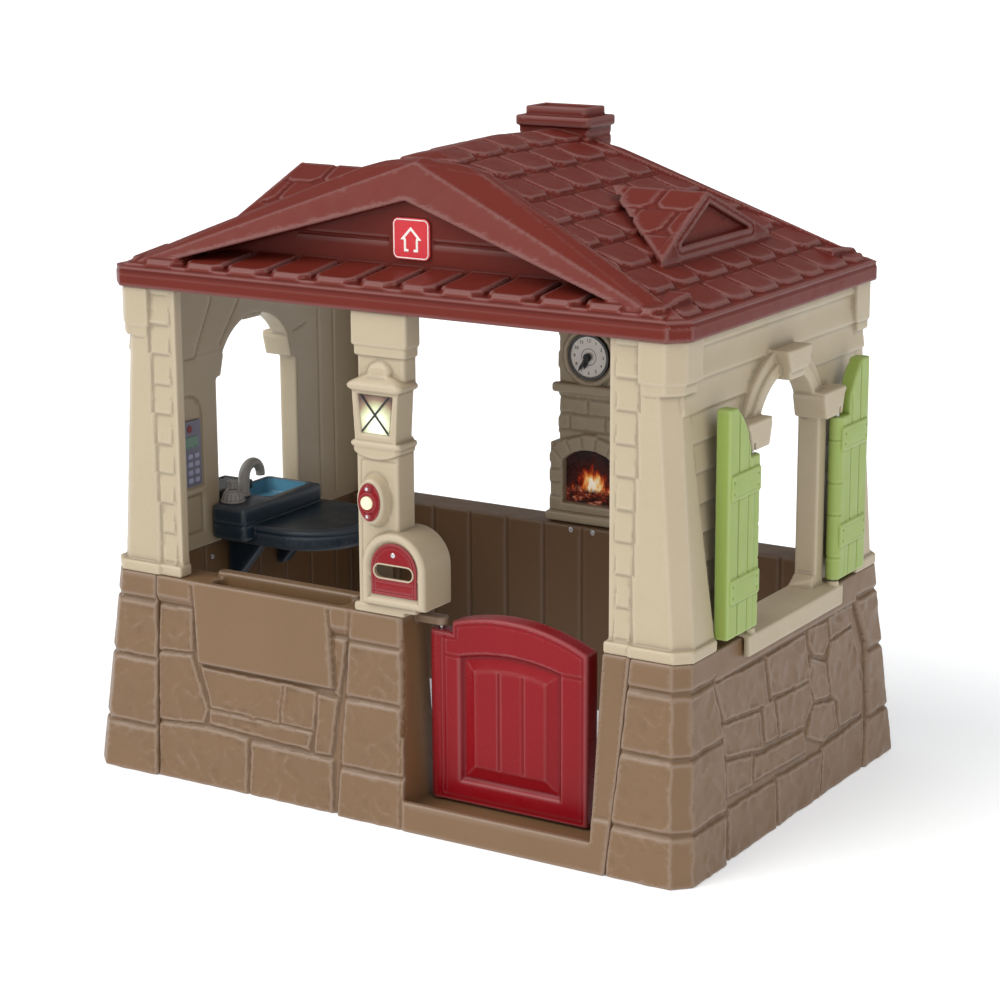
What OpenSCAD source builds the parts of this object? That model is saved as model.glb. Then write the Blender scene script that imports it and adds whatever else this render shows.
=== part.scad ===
// Toddler playhouse: stone-look base, siding upper walls, tiled roof with gables and dormers,
// half door, two window shutters, kitchen corner, fireplace, mailbox, doorbell and clock.
// Origin at the middle of the base, +X along the front, the front faces -Y, +Z up. Millimetres.

/* [Overall] */
// Width of the house across its base
house_w = 1290; // [1280:2:1300]
// Depth of the house across its base
house_d = 890; // [880:2:900]
// Height of the joint between the lower and the upper walls
joint_z = 380; // [378:1:382]
// Height at which the roof rests on the walls
eave_z = 923; // [921:1:925]

/* [Lower walls] */
// How far each side face leans in over the height of the lower wall
side_batter = 32; // [28:1:34]
// How far the front and back faces lean in over the height of the lower wall
front_batter = 47; // [44:1:49]
// Corner chamfer at the floor
chamfer_base = 36; // [30:1:40]
// Distance from the middle of the house to the inner face of a side wall
side_inner = 565; // [560:1:570]
// Distance from the middle of the house to the inner face of the front and back walls
front_inner = 320; // [318:1:322]

/* [Upper walls] */
// Distance from the middle to the inner face of the upper side walls
skin_inner = 558; // [556:1:560]
// Distance from the middle to the outer siding face
siding_x = 585; // [582:1:588]
// Distance from the middle to the window trim face
trim_x = 601; // [599:1:601]
// Half width of each window
window_half = 131; // [129:1:132]
// Height of the window sill at its inner edge
sill_z = 394; // [392:1:395]
// Height of the centre of the window arch
arch_z = 690; // [688:1:692]
// Radius of the window arch
arch_r = 124; // [122:1:126]

/* [Roof] */
// Width of the roof at its fascia
roof_w = 1206; // [1200:2:1210]
// Depth of the roof at its fascia
roof_d = 794; // [792:2:800]
// Height of the fascia band
fascia_h = 36; // [32:1:40]
// Height of the ridge above the floor
ridge_z = 1201; // [1195:1:1205]
// Height of the chimney cap above the floor
chimney_z = 1225; // [1220:1:1230]

/* [Door] */
// Left edge of the door
door_x0 = 76; // [76:1:78]
// Right edge of the door
door_x1 = 405; // [400:1:410]
// Door thickness
door_t = 40; // [36:1:40]
// Height of the door's crown above the floor
door_top = 395; // [392:1:396]
// Radius of the door's hinge pins
door_pin_r = 5; // [4:0.5:6]

/* [Shutters] */
// Width of a shutter
shutter_w = 122; // [118:1:123]
// Height of a shutter at its tall edge
shutter_h = 400; // [390:1:402]
// Shutter thickness
shutter_t = 28; // [24:1:28]
// Radius of a shutter's hinge pins
shutter_pin_r = 4; // [3:0.5:4]

/* [Kitchen] */
// Height of the sink's rim
rim_z = 460; // [456:1:462]
// Height of the play table
table_z = 422; // [418:1:424]
// Thickness of the play table
table_t = 42; // [36:1:44]
// Radius of the table's round end
table_r = 125; // [120:1:128]

/* [Doorbell] */
// Radius of the doorbell button
button_r = 12; // [10:0.5:12]
// Travel of the doorbell button
button_travel = 3; // [2:0.5:3]

/* [Clock] */
// Radius of the clock dial
dial_r = 46; // [42:1:48]
// Height of the clock's centre
clock_z = 722; // [718:1:726]

/* [Hidden] */
$fn = 64;

far = 900;
gap = 0.4;
running_gap = 0.06;
half_w = house_w / 2;
half_d = house_d / 2;
top_half_w = half_w - side_batter;
top_half_d = half_d - front_batter;

// Seam between the corner blocks and the front and back walls
seam_base = 486;
seam_top = 508;

// Door opening and threshold
opening_x0 = 70;
opening_top_x0 = 44;
opening_x1 = 453;
tread_z = 38;
lip_z = 53;
lip_back_y = -425;
door_y = -342;
door_front_y = door_y - door_t / 2;
door_hinge_x = door_x0 + door_t / 2;
door_z0 = 42;
door_shoulder_z = 357;
tab_x1 = 116;
door_notch_x = 128;
tab_z0 = 362;
door_rise = door_top - door_shoulder_z;
door_mid_x = (door_x0 + door_x1) / 2;
door_crown_r = (pow((door_x1 - door_x0) / 2, 2) + pow(door_rise, 2)) / (2 * door_rise);

// Planter in the front wall
planter_x0 = -392;
planter_x1 = -90;
planter_floor_z = 262;

// Upper corner columns
column_y = 386;
column_depth = 28;
column_in_x = 456;
column_in_y = column_y - column_depth;
flange_z1 = 401;
ring_z0 = 833;
capital_z0 = 850;

// Window trim
impost_z0 = 707;
impost_z1 = 757;
impost_x = 624;
sill_x = 630;
hinge_x = 617;
hinge_y = 172;
shutter_z0 = 398;
shutter_shoulder_z = 703;
shutter_step_y = 200;
lug_top_z = 396;

// Badge in the front gable
badge_z = 1038;

// Lantern post and its mailbox
post_x = -3;
post_front_y = -395;
post_back_y = -347;
lantern_y = -400;
mail_x = 36;
mail_r = 67;
mail_front_y = -410;
mail_back_y = -317;
mail_z = 469;
mail_z0 = 400;
mail_plate_r = 48;
mail_plate_z0 = 420;
slot_half_w = 40;
slot_z = 464.5;
slot_r = 11.5;

// Doorbell
bell_z = 590;
boss_front_y = -417;
bezel_front_y = -425;
button_front_y = -430;
module_front_y = -398;

// Fireplace panel
fire_face_y = 350;
fire_back_y = 396;
fire_half_w = 75;
hearth_half_w = 92;
fire_recess_w = 60;
fire_z0 = 418;
fire_z1 = 531;
clock_y = fire_face_y;

// Kitchen unit
unit_in_x = -475;
unit_wall_x = -555;
unit_out_x = -612;
unit_ledge_x = -640;
unit_y0 = -165;
unit_y1 = 97;
unit_z0 = 396.5;
table_x = -420;
table_y = -8;
faucet_x = -535;
faucet_y = -120;
spout_x = -545;
spout_y = -74;

brown = [0.56, 0.45, 0.35];
cream = [0.82, 0.75, 0.62];
maroon = [0.43, 0.14, 0.12];
red = [0.53, 0.08, 0.13];
green = [0.6, 0.8, 0.36];
navy = [0.16, 0.23, 0.28];
grey = [0.6, 0.59, 0.58];
steel = [0.75, 0.75, 0.77];
black = [0.08, 0.08, 0.08];

// Draws a profile given in (y, z) and extrudes it from x0 to x1
module slab_x(x0, x1) {
    translate([x0, 0, 0]) rotate([90, 0, 90]) linear_extrude(x1 - x0) children();
}

// Draws a profile given in (x, z) and extrudes it from y0 to y1
module slab_y(y0, y1) {
    translate([0, y1, 0]) rotate([90, 0, 0]) linear_extrude(y1 - y0) children();
}

// Draws a profile given in (x, y) and extrudes it from z0 to z1
module slab_z(z0, z1) {
    translate([0, 0, z0]) linear_extrude(z1 - z0) children();
}

module block(low, high) {
    translate(low) cube(high - low);
}

// Round bar along Y between y0 and y1
module bar_y(x, z, r, y0, y1) {
    translate([x, y1, z]) rotate([90, 0, 0]) cylinder(r = r, h = y1 - y0);
}

// Round bar along Z between z0 and z1
module bar_z(x, y, r, z0, z1) {
    translate([x, y, z0]) cylinder(r = r, h = z1 - z0);
}

module oval(rx, ry) {
    polygon([for (a = [0 : 7.5 : 359]) [rx * cos(a), ry * sin(a)]]);
}

// Arch with straight legs: round top of radius r at height z, legs down to z0
module arch_2d(x, z, r, z0) {
    translate([x, z]) circle(r);
    translate([x - r, z0]) square([2 * r, z - z0]);
}

module mirror_y() {
    children();
    mirror([0, 1, 0]) children();
}

// Rectangle with cut corners, centred
module cut_rect(w, d, c) {
    polygon([
        [-w / 2 + c, -d / 2], [w / 2 - c, -d / 2], [w / 2, -d / 2 + c], [w / 2, d / 2 - c],
        [w / 2 - c, d / 2], [-w / 2 + c, d / 2], [-w / 2, d / 2 - c], [-w / 2, -d / 2 + c]
    ]);
}

// ---- Lower walls ----

// Trapezoid that is 2 * low wide at the floor and 2 * high wide at the joint
module batter_2d(low, high) {
    polygon([[-low, 0], [low, 0], [high, joint_z], [-high, joint_z]]);
}

// Outer envelope of the base: four leaning faces and four chamfered corners
module base_envelope() {
    low_diag = (half_w + half_d - chamfer_base) / sqrt(2);
    high_diag = (top_half_w + top_half_d - chamfer_base * 0.72) / sqrt(2);
    intersection() {
        slab_y(-far, far) batter_2d(half_w, top_half_w);
        slab_x(-far, far) batter_2d(half_d, top_half_d);
        rotate([0, 0, 45]) slab_y(-far, far) batter_2d(low_diag, high_diag);
        rotate([0, 0, -45]) slab_y(-far, far) batter_2d(low_diag, high_diag);
    }
}

module corner_block_2d() {
    polygon([[seam_base, 0], [far, 0], [far, joint_z], [seam_top, joint_z]]);
}

// Side wall with its two corner blocks, on the +X side
module lower_wall() {
    intersection() {
        base_envelope();
        union() {
            block([side_inner, -far, 0], [far, far, joint_z]);
            slab_y(-far, -front_inner) corner_block_2d();
            slab_y(front_inner, far) corner_block_2d();
        }
    }
}

module lower_wall_left() {
    color(brown) mirror([1, 0, 0]) lower_wall();
}

module lower_wall_right() {
    color(brown) lower_wall();
}

// Slice of the base between the corner blocks, from y0 to y1
module wall_between(y0, y1) {
    intersection() {
        base_envelope();
        slab_y(y0, y1) polygon([
            [-seam_base + gap, 0], [seam_base - gap, 0],
            [seam_top - gap, joint_z], [-seam_top + gap, joint_z]
        ]);
    }
}

module door_opening() {
    difference() {
        slab_y(-far, -front_inner + 1) polygon([
            [opening_x0, tread_z], [opening_x1, tread_z],
            [opening_x1, joint_z + 1], [opening_top_x0, joint_z + 1]
        ]);
        block([opening_x0 - 1, -far, 0], [opening_x1 + 1, lip_back_y, lip_z]);
        block([0, door_front_y - 4, tab_z0], [tab_x1, -front_inner + 2, joint_z + 2]);
    }
}

module front_wall() {
    color(brown) difference() {
        union() {
            wall_between(-far, -front_inner);
            block([-405, -345, joint_z - 1], [-80, -front_inner, joint_z + 10]);
        }
        door_opening();
        block([planter_x0, -383, planter_floor_z], [planter_x1, -345, joint_z + 20]);
        bar_z(door_hinge_x, door_y, door_pin_r + running_gap, tread_z - 18, tread_z + 1);
        bar_z(door_hinge_x, door_y, door_pin_r + running_gap, tab_z0 - 1, joint_z + 1);
    }
}

module back_wall() {
    color(brown) wall_between(front_inner, far);
}

// ---- Upper walls ----

// Window opening in (y, z)
module window_2d() {
    translate([-window_half, joint_z + 1]) square([2 * window_half, impost_z0 - joint_z]);
    polygon([[-118, impost_z0 - 1], [118, impost_z0 - 1], [103, impost_z1], [-103, impost_z1]]);
    intersection() {
        translate([0, arch_z]) circle(arch_r);
        translate([-far / 2, impost_z1 - 1]) square([far, 200]);
    }
}

// Corner column at the front, on the +X side
module corner_column() {
    taper = [[skin_inner, flange_z1], [609, flange_z1], [577, capital_z0], [skin_inner, capital_z0]];
    difference() {
        union() {
            slab_z(joint_z, flange_z1) polygon([
                [column_in_x - 4, -396], [615, -396], [615, -284],
                [skin_inner, -284], [skin_inner, -column_in_y], [column_in_x - 4, -column_in_y]
            ]);
            slab_y(-column_y, -column_in_y) polygon([
                [column_in_x, flange_z1], [609, flange_z1], [577, capital_z0], [column_in_x, capital_z0]
            ]);
            intersection() {
                slab_x(skin_inner, 640) polygon([
                    [-column_y, flange_z1], [-282, flange_z1],
                    [-338, capital_z0], [-column_y, capital_z0]
                ]);
                slab_y(-far, 0) polygon(taper);
            }
            block([column_in_x, -388, ring_z0], [588, -column_in_y, capital_z0]);
            block([skin_inner, -388, ring_z0], [588, -318, capital_z0]);
            block([column_in_x, -390, capital_z0], [592, -column_in_y, eave_z]);
            block([skin_inner, -390, capital_z0], [592, -305, eave_z]);
        }
        rotate([0, 0, -45]) slab_y(-far, far) polygon([
            [(615 + 396 - 26) / sqrt(2), joint_z - 1], [far, joint_z - 1], [far, flange_z1],
            [(615 + 396 - 26) / sqrt(2), flange_z1]
        ]);
        rotate([0, 0, -45]) slab_y(-far, far) polygon([
            [(609 + column_y - 28) / sqrt(2), flange_z1], [far, flange_z1], [far, ring_z0],
            [(578 + column_y - 28) / sqrt(2), ring_z0]
        ]);
        rotate([0, 0, -45]) slab_y(-far, far) polygon([
            [(592 + 390 - 28) / sqrt(2), ring_z0], [far, ring_z0], [far, eave_z + 1],
            [(592 + 390 - 28) / sqrt(2), eave_z + 1]
        ]);
    }
}

module window_trim() {
    slab_x(siding_x - 1, trim_x) intersection() {
        translate([0, arch_z]) circle(168);
        translate([-far / 2, impost_z0]) square([far, 200]);
    }
    mirror_y() block([siding_x - 1, window_half, joint_z], [trim_x, 164, impost_z0]);
    slab_x(skin_inner, impost_x) polygon([
        [-182, impost_z0], [182, impost_z0], [196, impost_z1], [-196, impost_z1]
    ]);
}

// Side wall with two corner columns and an arched window, on the +X side
module upper_wall() {
    difference() {
        union() {
            block([skin_inner, -column_in_y - 1, joint_z], [siding_x, column_in_y + 1, eave_z]);
            mirror_y() corner_column();
            window_trim();
        }
        slab_x(skin_inner - 1, far) window_2d();
    }
    slab_x(570, impost_x) polygon([[-28, 803], [28, 803], [48, 858], [-48, 858]]);
    slab_y(-192, 192) polygon([
        [skin_inner, joint_z], [skin_inner, sill_z], [trim_x, sill_z - 3], [sill_x, sill_z - 10],
        [sill_x, 347], [617.2, 345], [617.2, joint_z]
    ]);
}

module upper_wall_left() {
    color(cream) mirror([1, 0, 0]) upper_wall();
}

// The right wall also carries the shutters: a lug on the sill and a bore in each impost
module upper_wall_right() {
    color(cream) difference() {
        union() {
            upper_wall();
            for (s = [-1, 1]) bar_z(hinge_x, s * hinge_y, 11, joint_z + 1, lug_top_z);
        }
        for (s = [-1, 1]) {
            bar_z(hinge_x, s * hinge_y, shutter_pin_r + running_gap, lug_top_z - 14, lug_top_z + 1);
            bar_z(hinge_x, s * hinge_y, shutter_pin_r + running_gap, impost_z0 - 1, impost_z0 + 16);
        }
    }
}

// ---- Roof ----

module peg(x, y, z) {
    translate([x, y, z]) cube(2, center = true);
}

// Sloping part of the roof above the fascia, with its sides moved in by t
module roof_slopes(t, z0, half_y0, half_x0) {
    hull() {
        slab_z(z0, z0 + 1) cut_rect(2 * half_x0, 2 * half_y0, 34);
        for (s = [-1, 1]) {
            peg(0, s * (200 - t), ridge_z - 10 - t);
            peg(0, s * (268 - t), ridge_z - 31 - t);
            for (r = [-1, 1]) peg(r * 130, s * (246 - t), ridge_z - 49 - t);
        }
        peg(0, 0, ridge_z - 1 - t);
    }
}

module dormer() {
    hull() {
        for (s = [-1, 1]) peg(459, s * 207, 1015);
        for (s = [-1, 1]) peg(459, s * 207, 1024);
        peg(437, 0, 1118);
        peg(232, 0, 1118);
    }
}

module roof() {
    fascia_top = eave_z + fascia_h;
    color(maroon) {
        difference() {
            union() {
                slab_z(eave_z, fascia_top) cut_rect(roof_w, roof_d, 33);
                roof_slopes(0, fascia_top - 1, roof_d / 2 - 3, roof_w / 2 - 3);
                dormer();
                mirror([1, 0, 0]) dormer();
            }
            mirror_y() slab_y(-far, -282) polygon([[-430, 985], [430, 985], [0, 1106]]);
            for (s = [0, 1]) mirror([s, 0, 0]) slab_x(448, far) polygon([[-150, 1036], [150, 1036], [0, 1102]]);
            slab_z(eave_z - 1, fascia_top - 2) cut_rect(roof_w - 60, roof_d - 28, 33);
            roof_slopes(12, fascia_top - 3, 272, 548);
        }
        block([-76, 208, 1120], [76, 298, 1192]);
        block([-82, 202, 1190], [82, 304, 1208]);
        block([-66, 216, 1206], [66, 290, chimney_z]);
    }
}

module gable_badge() {
    color(red) slab_y(-288, -282) translate([3, badge_z]) {
        square([58, 74], center = true);
        square([78, 54], center = true);
        for (x = [-29, 29], z = [-27, 27]) translate([x, z]) circle(10);
    }
}

// ---- Lantern post ----

module post_slice(half, y0, z0, z1) {
    block([post_x - half, y0, z0], [post_x + half, post_back_y, z1]);
}

module post_flare(half0, half1, y0, z0, z1) {
    slab_y(y0, post_back_y) polygon([
        [post_x - half0, z0], [post_x + half0, z0], [post_x + half1, z1], [post_x - half1, z1]
    ]);
}

module lantern_window_2d(inset) {
    polygon([
        [post_x - 28 + inset, 709 + inset], [post_x + 28 - inset, 709 + inset],
        [post_x + 36 - inset, 777 - inset], [post_x - 36 + inset, 777 - inset]
    ]);
}

module slot_2d(grow) {
    for (s = [-1, 1]) translate([mail_x + s * (slot_half_w - slot_r), slot_z]) circle(slot_r + grow);
    translate([mail_x - slot_half_w + slot_r, slot_z - slot_r - grow])
        square([2 * (slot_half_w - slot_r), 2 * (slot_r + grow)]);
}

module lantern_post() {
    color(cream) difference() {
        union() {
            block([post_x - 59, -397, joint_z], [post_x + 47, post_back_y, 397]);
            post_slice(44, post_front_y, 396, 690);
            slab_y(mail_front_y, mail_back_y) arch_2d(mail_x, mail_z, mail_r, mail_z0);
            block([mail_x - 40, -397, 396], [mail_x + 40, mail_back_y, mail_z0 + 1]);
            slab_y(boss_front_y, post_front_y + 1) translate([post_x - 2, bell_z]) oval(30, 44);
            post_flare(46, 53, -403, 668, 680);
            post_slice(53, -403, 679, 690);
            post_flare(43, 49, lantern_y, 689, 786);
            post_slice(59, -406, 785, 794);
            post_flare(56, 50, -398, 794, 812);
            post_slice(50, -379, 811, 844);
            post_slice(55, -384, 843, 861);
            post_slice(59, -387, 861, eave_z);
        }
        slab_y(mail_front_y + 14, mail_back_y + 1) arch_2d(mail_x, mail_z, mail_r - 8, mail_z0 + 8);
        slab_y(mail_front_y - 1, mail_front_y + 8)
            arch_2d(mail_x, mail_z, mail_plate_r + 0.2, mail_plate_z0 - 0.2);
        slab_y(mail_front_y, mail_front_y + 20) slot_2d(1);
        slab_y(lantern_y - 1, lantern_y + 5) lantern_window_2d(0);
        block([post_x - 28, module_front_y, 561], [post_x + 28, post_back_y + 1, 619]);
        bar_y(post_x - 2, bell_z, 15.5, boss_front_y - 1, module_front_y + 1);
    }
}

module lantern_panel() {
    color([0.85, 0.88, 0.6]) slab_y(lantern_y + 2.5, lantern_y + 5) lantern_window_2d(0.3);
}

module lantern_bars() {
    color(black) intersection() {
        slab_y(lantern_y + 0.5, lantern_y + 2.5) lantern_window_2d(0.5);
        for (s = [-1, 1]) translate([post_x, 0, 743]) rotate([0, s * 49, 0])
            block([-60, lantern_y, -1.6], [60, lantern_y + 3, 1.6]);
    }
}

module doorbell_bezel() {
    color(red) difference() {
        slab_y(bezel_front_y, boss_front_y) translate([post_x - 2, bell_z]) oval(23, 34.5);
        bar_y(post_x - 2, bell_z, button_r + running_gap, bezel_front_y - 1, boss_front_y + 1);
    }
}

module doorbell_button() {
    color([0.93, 0.9, 0.8]) {
        bar_y(post_x - 2, bell_z, button_r, button_front_y, boss_front_y + 2);
        bar_y(post_x - 2, bell_z, 14.5, boss_front_y + 0.2, boss_front_y + 3);
    }
}

// Helical spring along Y: a five-sided wire swept round turns times
module doorbell_spring() {
    turns = 5;
    steps = 14;
    wire = 0.7;
    coil_r = 9;
    y0 = boss_front_y + 3 + wire;
    y1 = module_front_y - wire;
    count = turns * steps;
    points = [
        for (i = [0 : count], k = [0 : 4])
            let (a = i * 360 / steps, b = k * 72, r = coil_r + wire * cos(b))
            [post_x - 2 + r * cos(a), y0 + (y1 - y0) * i / count + wire * sin(b), bell_z + r * sin(a)]
    ];
    faces = concat(
        [[4, 3, 2, 1, 0]],
        [[for (k = [0 : 4]) count * 5 + k]],
        [for (i = [0 : count - 1], k = [0 : 4])
            [i * 5 + k, i * 5 + (k + 1) % 5, (i + 1) * 5 + (k + 1) % 5, (i + 1) * 5 + k]]
    );
    color(steel) polyhedron(points, faces);
}

module doorbell_module() {
    color([0.25, 0.25, 0.27])
        block([post_x - 27.5, module_front_y, 561.5], [post_x + 27.5, post_back_y - 4, 618.5]);
}

module battery_door() {
    color(cream) difference() {
        block([post_x - 27.5, post_back_y - 3.7, 561.5], [post_x + 27.5, post_back_y, 618.5]);
        bar_y(post_x, 612, 2.5, post_back_y - 1.5, post_back_y + 1);
    }
}

module doorbell_screws() {
    color(steel) {
        for (s = [-1, 1]) bar_y(post_x - 2, bell_z + s * 25, 3.4, bezel_front_y - 1.6, bezel_front_y);
        bar_y(post_x, 612, 2.5, post_back_y - 1.5, post_back_y);
    }
}

module mail_plate() {
    color(red) difference() {
        slab_y(mail_front_y + 4, mail_front_y + 8) arch_2d(mail_x, mail_z, mail_plate_r, mail_plate_z0);
        slab_y(mail_front_y, mail_front_y + 20) slot_2d(0);
    }
}

module mail_plate_screw() {
    color(steel) bar_y(mail_x, mail_z + 27, 5, mail_front_y + 1.5, mail_front_y + 4);
}

// ---- Door ----

module door_2d() {
    difference() {
        intersection() {
            translate([door_x0, door_z0]) square([door_x1 - door_x0, 400]);
            translate([door_mid_x, door_top - door_crown_r]) circle(door_crown_r, $fn = 180);
        }
        translate([door_x0 - 1, door_shoulder_z]) square([door_notch_x - door_x0 + 1, 60]);
        translate([door_x0 - 1, door_z0 - 1]) square([door_t / 2 + 1, 400]);
    }
}

module door() {
    color(red) difference() {
        union() {
            slab_y(door_front_y, door_front_y + door_t) door_2d();
            bar_z(door_hinge_x, door_y, door_t / 2, door_z0, door_shoulder_z);
        }
        bar_z(door_hinge_x, door_y, door_pin_r, door_z0 - 1, door_z0 + 22);
        bar_z(door_hinge_x, door_y, door_pin_r, door_shoulder_z - 22, door_shoulder_z + 1);
        mirror_door_y() slab_y(door_front_y - 1, door_front_y + 5) difference() {
            intersection() {
                translate([137, 84]) square([232, 300]);
                translate([door_mid_x, door_top - door_crown_r - 34]) circle(door_crown_r - 20, $fn = 180);
            }
            intersection() {
                translate([155, 102]) square([196, 300]);
                translate([door_mid_x, door_top - door_crown_r - 52]) circle(door_crown_r - 20, $fn = 180);
            }
        }
    }
}

// Repeats a cut on the door's front on its back
module mirror_door_y() {
    children();
    translate([0, door_y, 0]) mirror([0, 1, 0]) translate([0, -door_y, 0]) children();
}

module door_pin_top() {
    color(steel) bar_z(door_hinge_x, door_y, door_pin_r, door_shoulder_z - 22, tab_z0 + 12);
}

module door_pin_bottom() {
    color(steel) bar_z(door_hinge_x, door_y, door_pin_r, tread_z - 16, door_z0 + 22);
}

// ---- Shutters ----

// The rear shutter as it lies open against the wall
module shutter_body() {
    y0 = hinge_y;
    y1 = hinge_y - shutter_t / 2 + shutter_w;
    front_x = hinge_x + shutter_t / 2;
    top_z = shutter_z0 + shutter_h;
    difference() {
        union() {
            slab_x(hinge_x - shutter_t / 2, front_x) {
                translate([y0, shutter_z0]) square([y1 - y0, shutter_shoulder_z - shutter_z0]);
                intersection() {
                    translate([shutter_step_y, shutter_shoulder_z - 1])
                        square([y1 - shutter_step_y, top_z - shutter_shoulder_z + 1]);
                    translate([328, arch_z]) circle(131);
                }
            }
            bar_z(hinge_x, hinge_y, shutter_t / 2, shutter_z0, shutter_shoulder_z);
            for (z = [459, 640]) block([front_x - 1, 168, z], [front_x + 3, y1 - 6, z + 44]);
        }
        bar_z(hinge_x, hinge_y, shutter_pin_r, shutter_z0 - 1, shutter_z0 + 18);
        bar_z(hinge_x, hinge_y, shutter_pin_r, shutter_shoulder_z - 18, shutter_shoulder_z + 1);
        for (y = [208, 245]) block([front_x - 2.5, y - 1.5, shutter_z0 - 1], [front_x, y + 1.5, top_z + 1]);
    }
}

module shutter_pins() {
    bar_z(hinge_x, hinge_y, shutter_pin_r, lug_top_z - 12, shutter_z0 + 18);
    bar_z(hinge_x, hinge_y, shutter_pin_r, shutter_shoulder_z - 18, impost_z0 + 14);
}

module shutter_rear() {
    color(green) shutter_body();
}

module shutter_rear_pins() {
    color(steel) shutter_pins();
}

module shutter_front() {
    color(green) mirror([0, 1, 0]) shutter_body();
}

module shutter_front_pins() {
    color(steel) mirror([0, 1, 0]) shutter_pins();
}

// ---- Fireplace and clock ----

module fire_arch_2d(half, z0, z1) {
    intersection() {
        translate([-half, z0]) square([2 * half, z1 - z0]);
        translate([0, z1 - 86]) circle(86, $fn = 96);
    }
}

module fireplace_panel() {
    color(cream) difference() {
        union() {
            block([-fire_half_w, fire_face_y, joint_z], [fire_half_w, fire_back_y, eave_z]);
            block([-hearth_half_w, 330, joint_z + 3], [hearth_half_w, fire_face_y + 1, 401]);
            block([-hearth_half_w, fire_face_y, joint_z], [hearth_half_w, fire_back_y, 540]);
            block([-82, 340, 645], [82, fire_face_y + 1, 664]);
        }
        slab_y(fire_face_y - 1, fire_face_y + 14) fire_arch_2d(fire_recess_w, fire_z0, fire_z1);
    }
}

module fire_panel() {
    color([0.2, 0.08, 0.04]) slab_y(fire_face_y + 11, fire_face_y + 14)
        fire_arch_2d(fire_recess_w - 0.3, fire_z0 + 0.3, fire_z1 - 0.3);
}

module hearth_screws() {
    color(steel) for (x = [-25, 25]) bar_y(x, 372, 6, front_inner - 3, front_inner);
}

module clock_dial() {
    color([0.93, 0.9, 0.85]) difference() {
        bar_y(0, clock_z, dial_r, clock_y - 7, clock_y);
        bar_y(0, clock_z, dial_r - 5, clock_y - 8, clock_y - 4);
        bar_y(0, clock_z, 3, clock_y - 5, clock_y + 1);
    }
}

module clock_pin() {
    color(black) {
        bar_y(0, clock_z, 3, clock_y - 14, clock_y);
        bar_y(0, clock_z, 6, clock_y - 16, clock_y - 13.8);
    }
}

// A hand that points along the given angle from twelve, between y0 and y1
module clock_hand(angle, length, half, y0) {
    difference() {
        union() {
            bar_y(0, clock_z, 8, y0 - 0.2, y0 + 2.6);
            translate([0, 0, clock_z]) rotate([0, angle, 0]) slab_y(y0, y0 + 2.4)
                polygon([[-half, 5], [-half, length * 0.7], [0, length], [half, length * 0.7], [half, 5]]);
        }
        bar_y(0, clock_z, 3 + running_gap, y0 - 1, y0 + 4);
    }
}

module clock_hour_hand() {
    color(black) clock_hand(198, 26, 4, clock_y - 10);
}

module clock_minute_hand() {
    color(black) clock_hand(214, 36, 3, clock_y - 13.2);
}

// ---- Kitchen ----

module kitchen_unit() {
    color(navy) difference() {
        union() {
            block([unit_wall_x, unit_y0, unit_z0 - 3], [unit_in_x, unit_y1, rim_z]);
            block([unit_out_x, -128, unit_z0], [unit_wall_x + 1, unit_y1, rim_z]);
            block([unit_ledge_x, -128, unit_z0 + 4], [unit_out_x + 1, -6, rim_z]);
            slab_z(table_z - table_t, table_z) {
                translate([table_x, table_y]) circle(table_r);
                translate([unit_wall_x, table_y - table_r])
                    square([table_x - unit_wall_x, 2 * table_r]);
            }
            for (y = [-103, 57]) slab_y(y, y + 30) polygon([
                [-564, 290], [-550, 290], [-468, table_z - table_t + 1], [unit_wall_x, table_z - table_t + 1],
                [-556, joint_z - 1], [-564, joint_z - 1]
            ]);
        }
        block([unit_out_x + 9, -52, rim_z - 32], [unit_in_x - 26, unit_y1 - 9, rim_z + 1]);
        bar_z(spout_x, spout_y, 9 + running_gap, rim_z - 12, rim_z + 1);
    }
}

module griddle() {
    color(black) {
        difference() {
            block([unit_ledge_x + 1, -127, rim_z], [-566, -10, rim_z + 18]);
            block([unit_ledge_x + 6, -121, rim_z + 10], [-571, -16, rim_z + 19]);
        }
        for (i = [0 : 4]) block([unit_ledge_x + 5, -112 + 21 * i, rim_z + 9], [-570, -105 + 21 * i, rim_z + 17]);
    }
}

module faucet_base() {
    color(grey) difference() {
        union() {
            bar_z(faucet_x, faucet_y, 25, rim_z, rim_z + 4);
            translate([faucet_x, faucet_y, rim_z + 4]) cylinder(r1 = 23, r2 = 14, h = 21);
            bar_z(faucet_x, faucet_y, 4, rim_z + 20, rim_z + 38);
        }
        bar_z(spout_x, spout_y, 20.4, rim_z - 1, rim_z + 40);
    }
}

module faucet_knob() {
    color(grey) difference() {
        bar_z(faucet_x, faucet_y, 10, rim_z + 25.2, rim_z + 43);
        bar_z(faucet_x, faucet_y, 4 + running_gap, rim_z + 25, rim_z + 39);
    }
}

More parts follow.
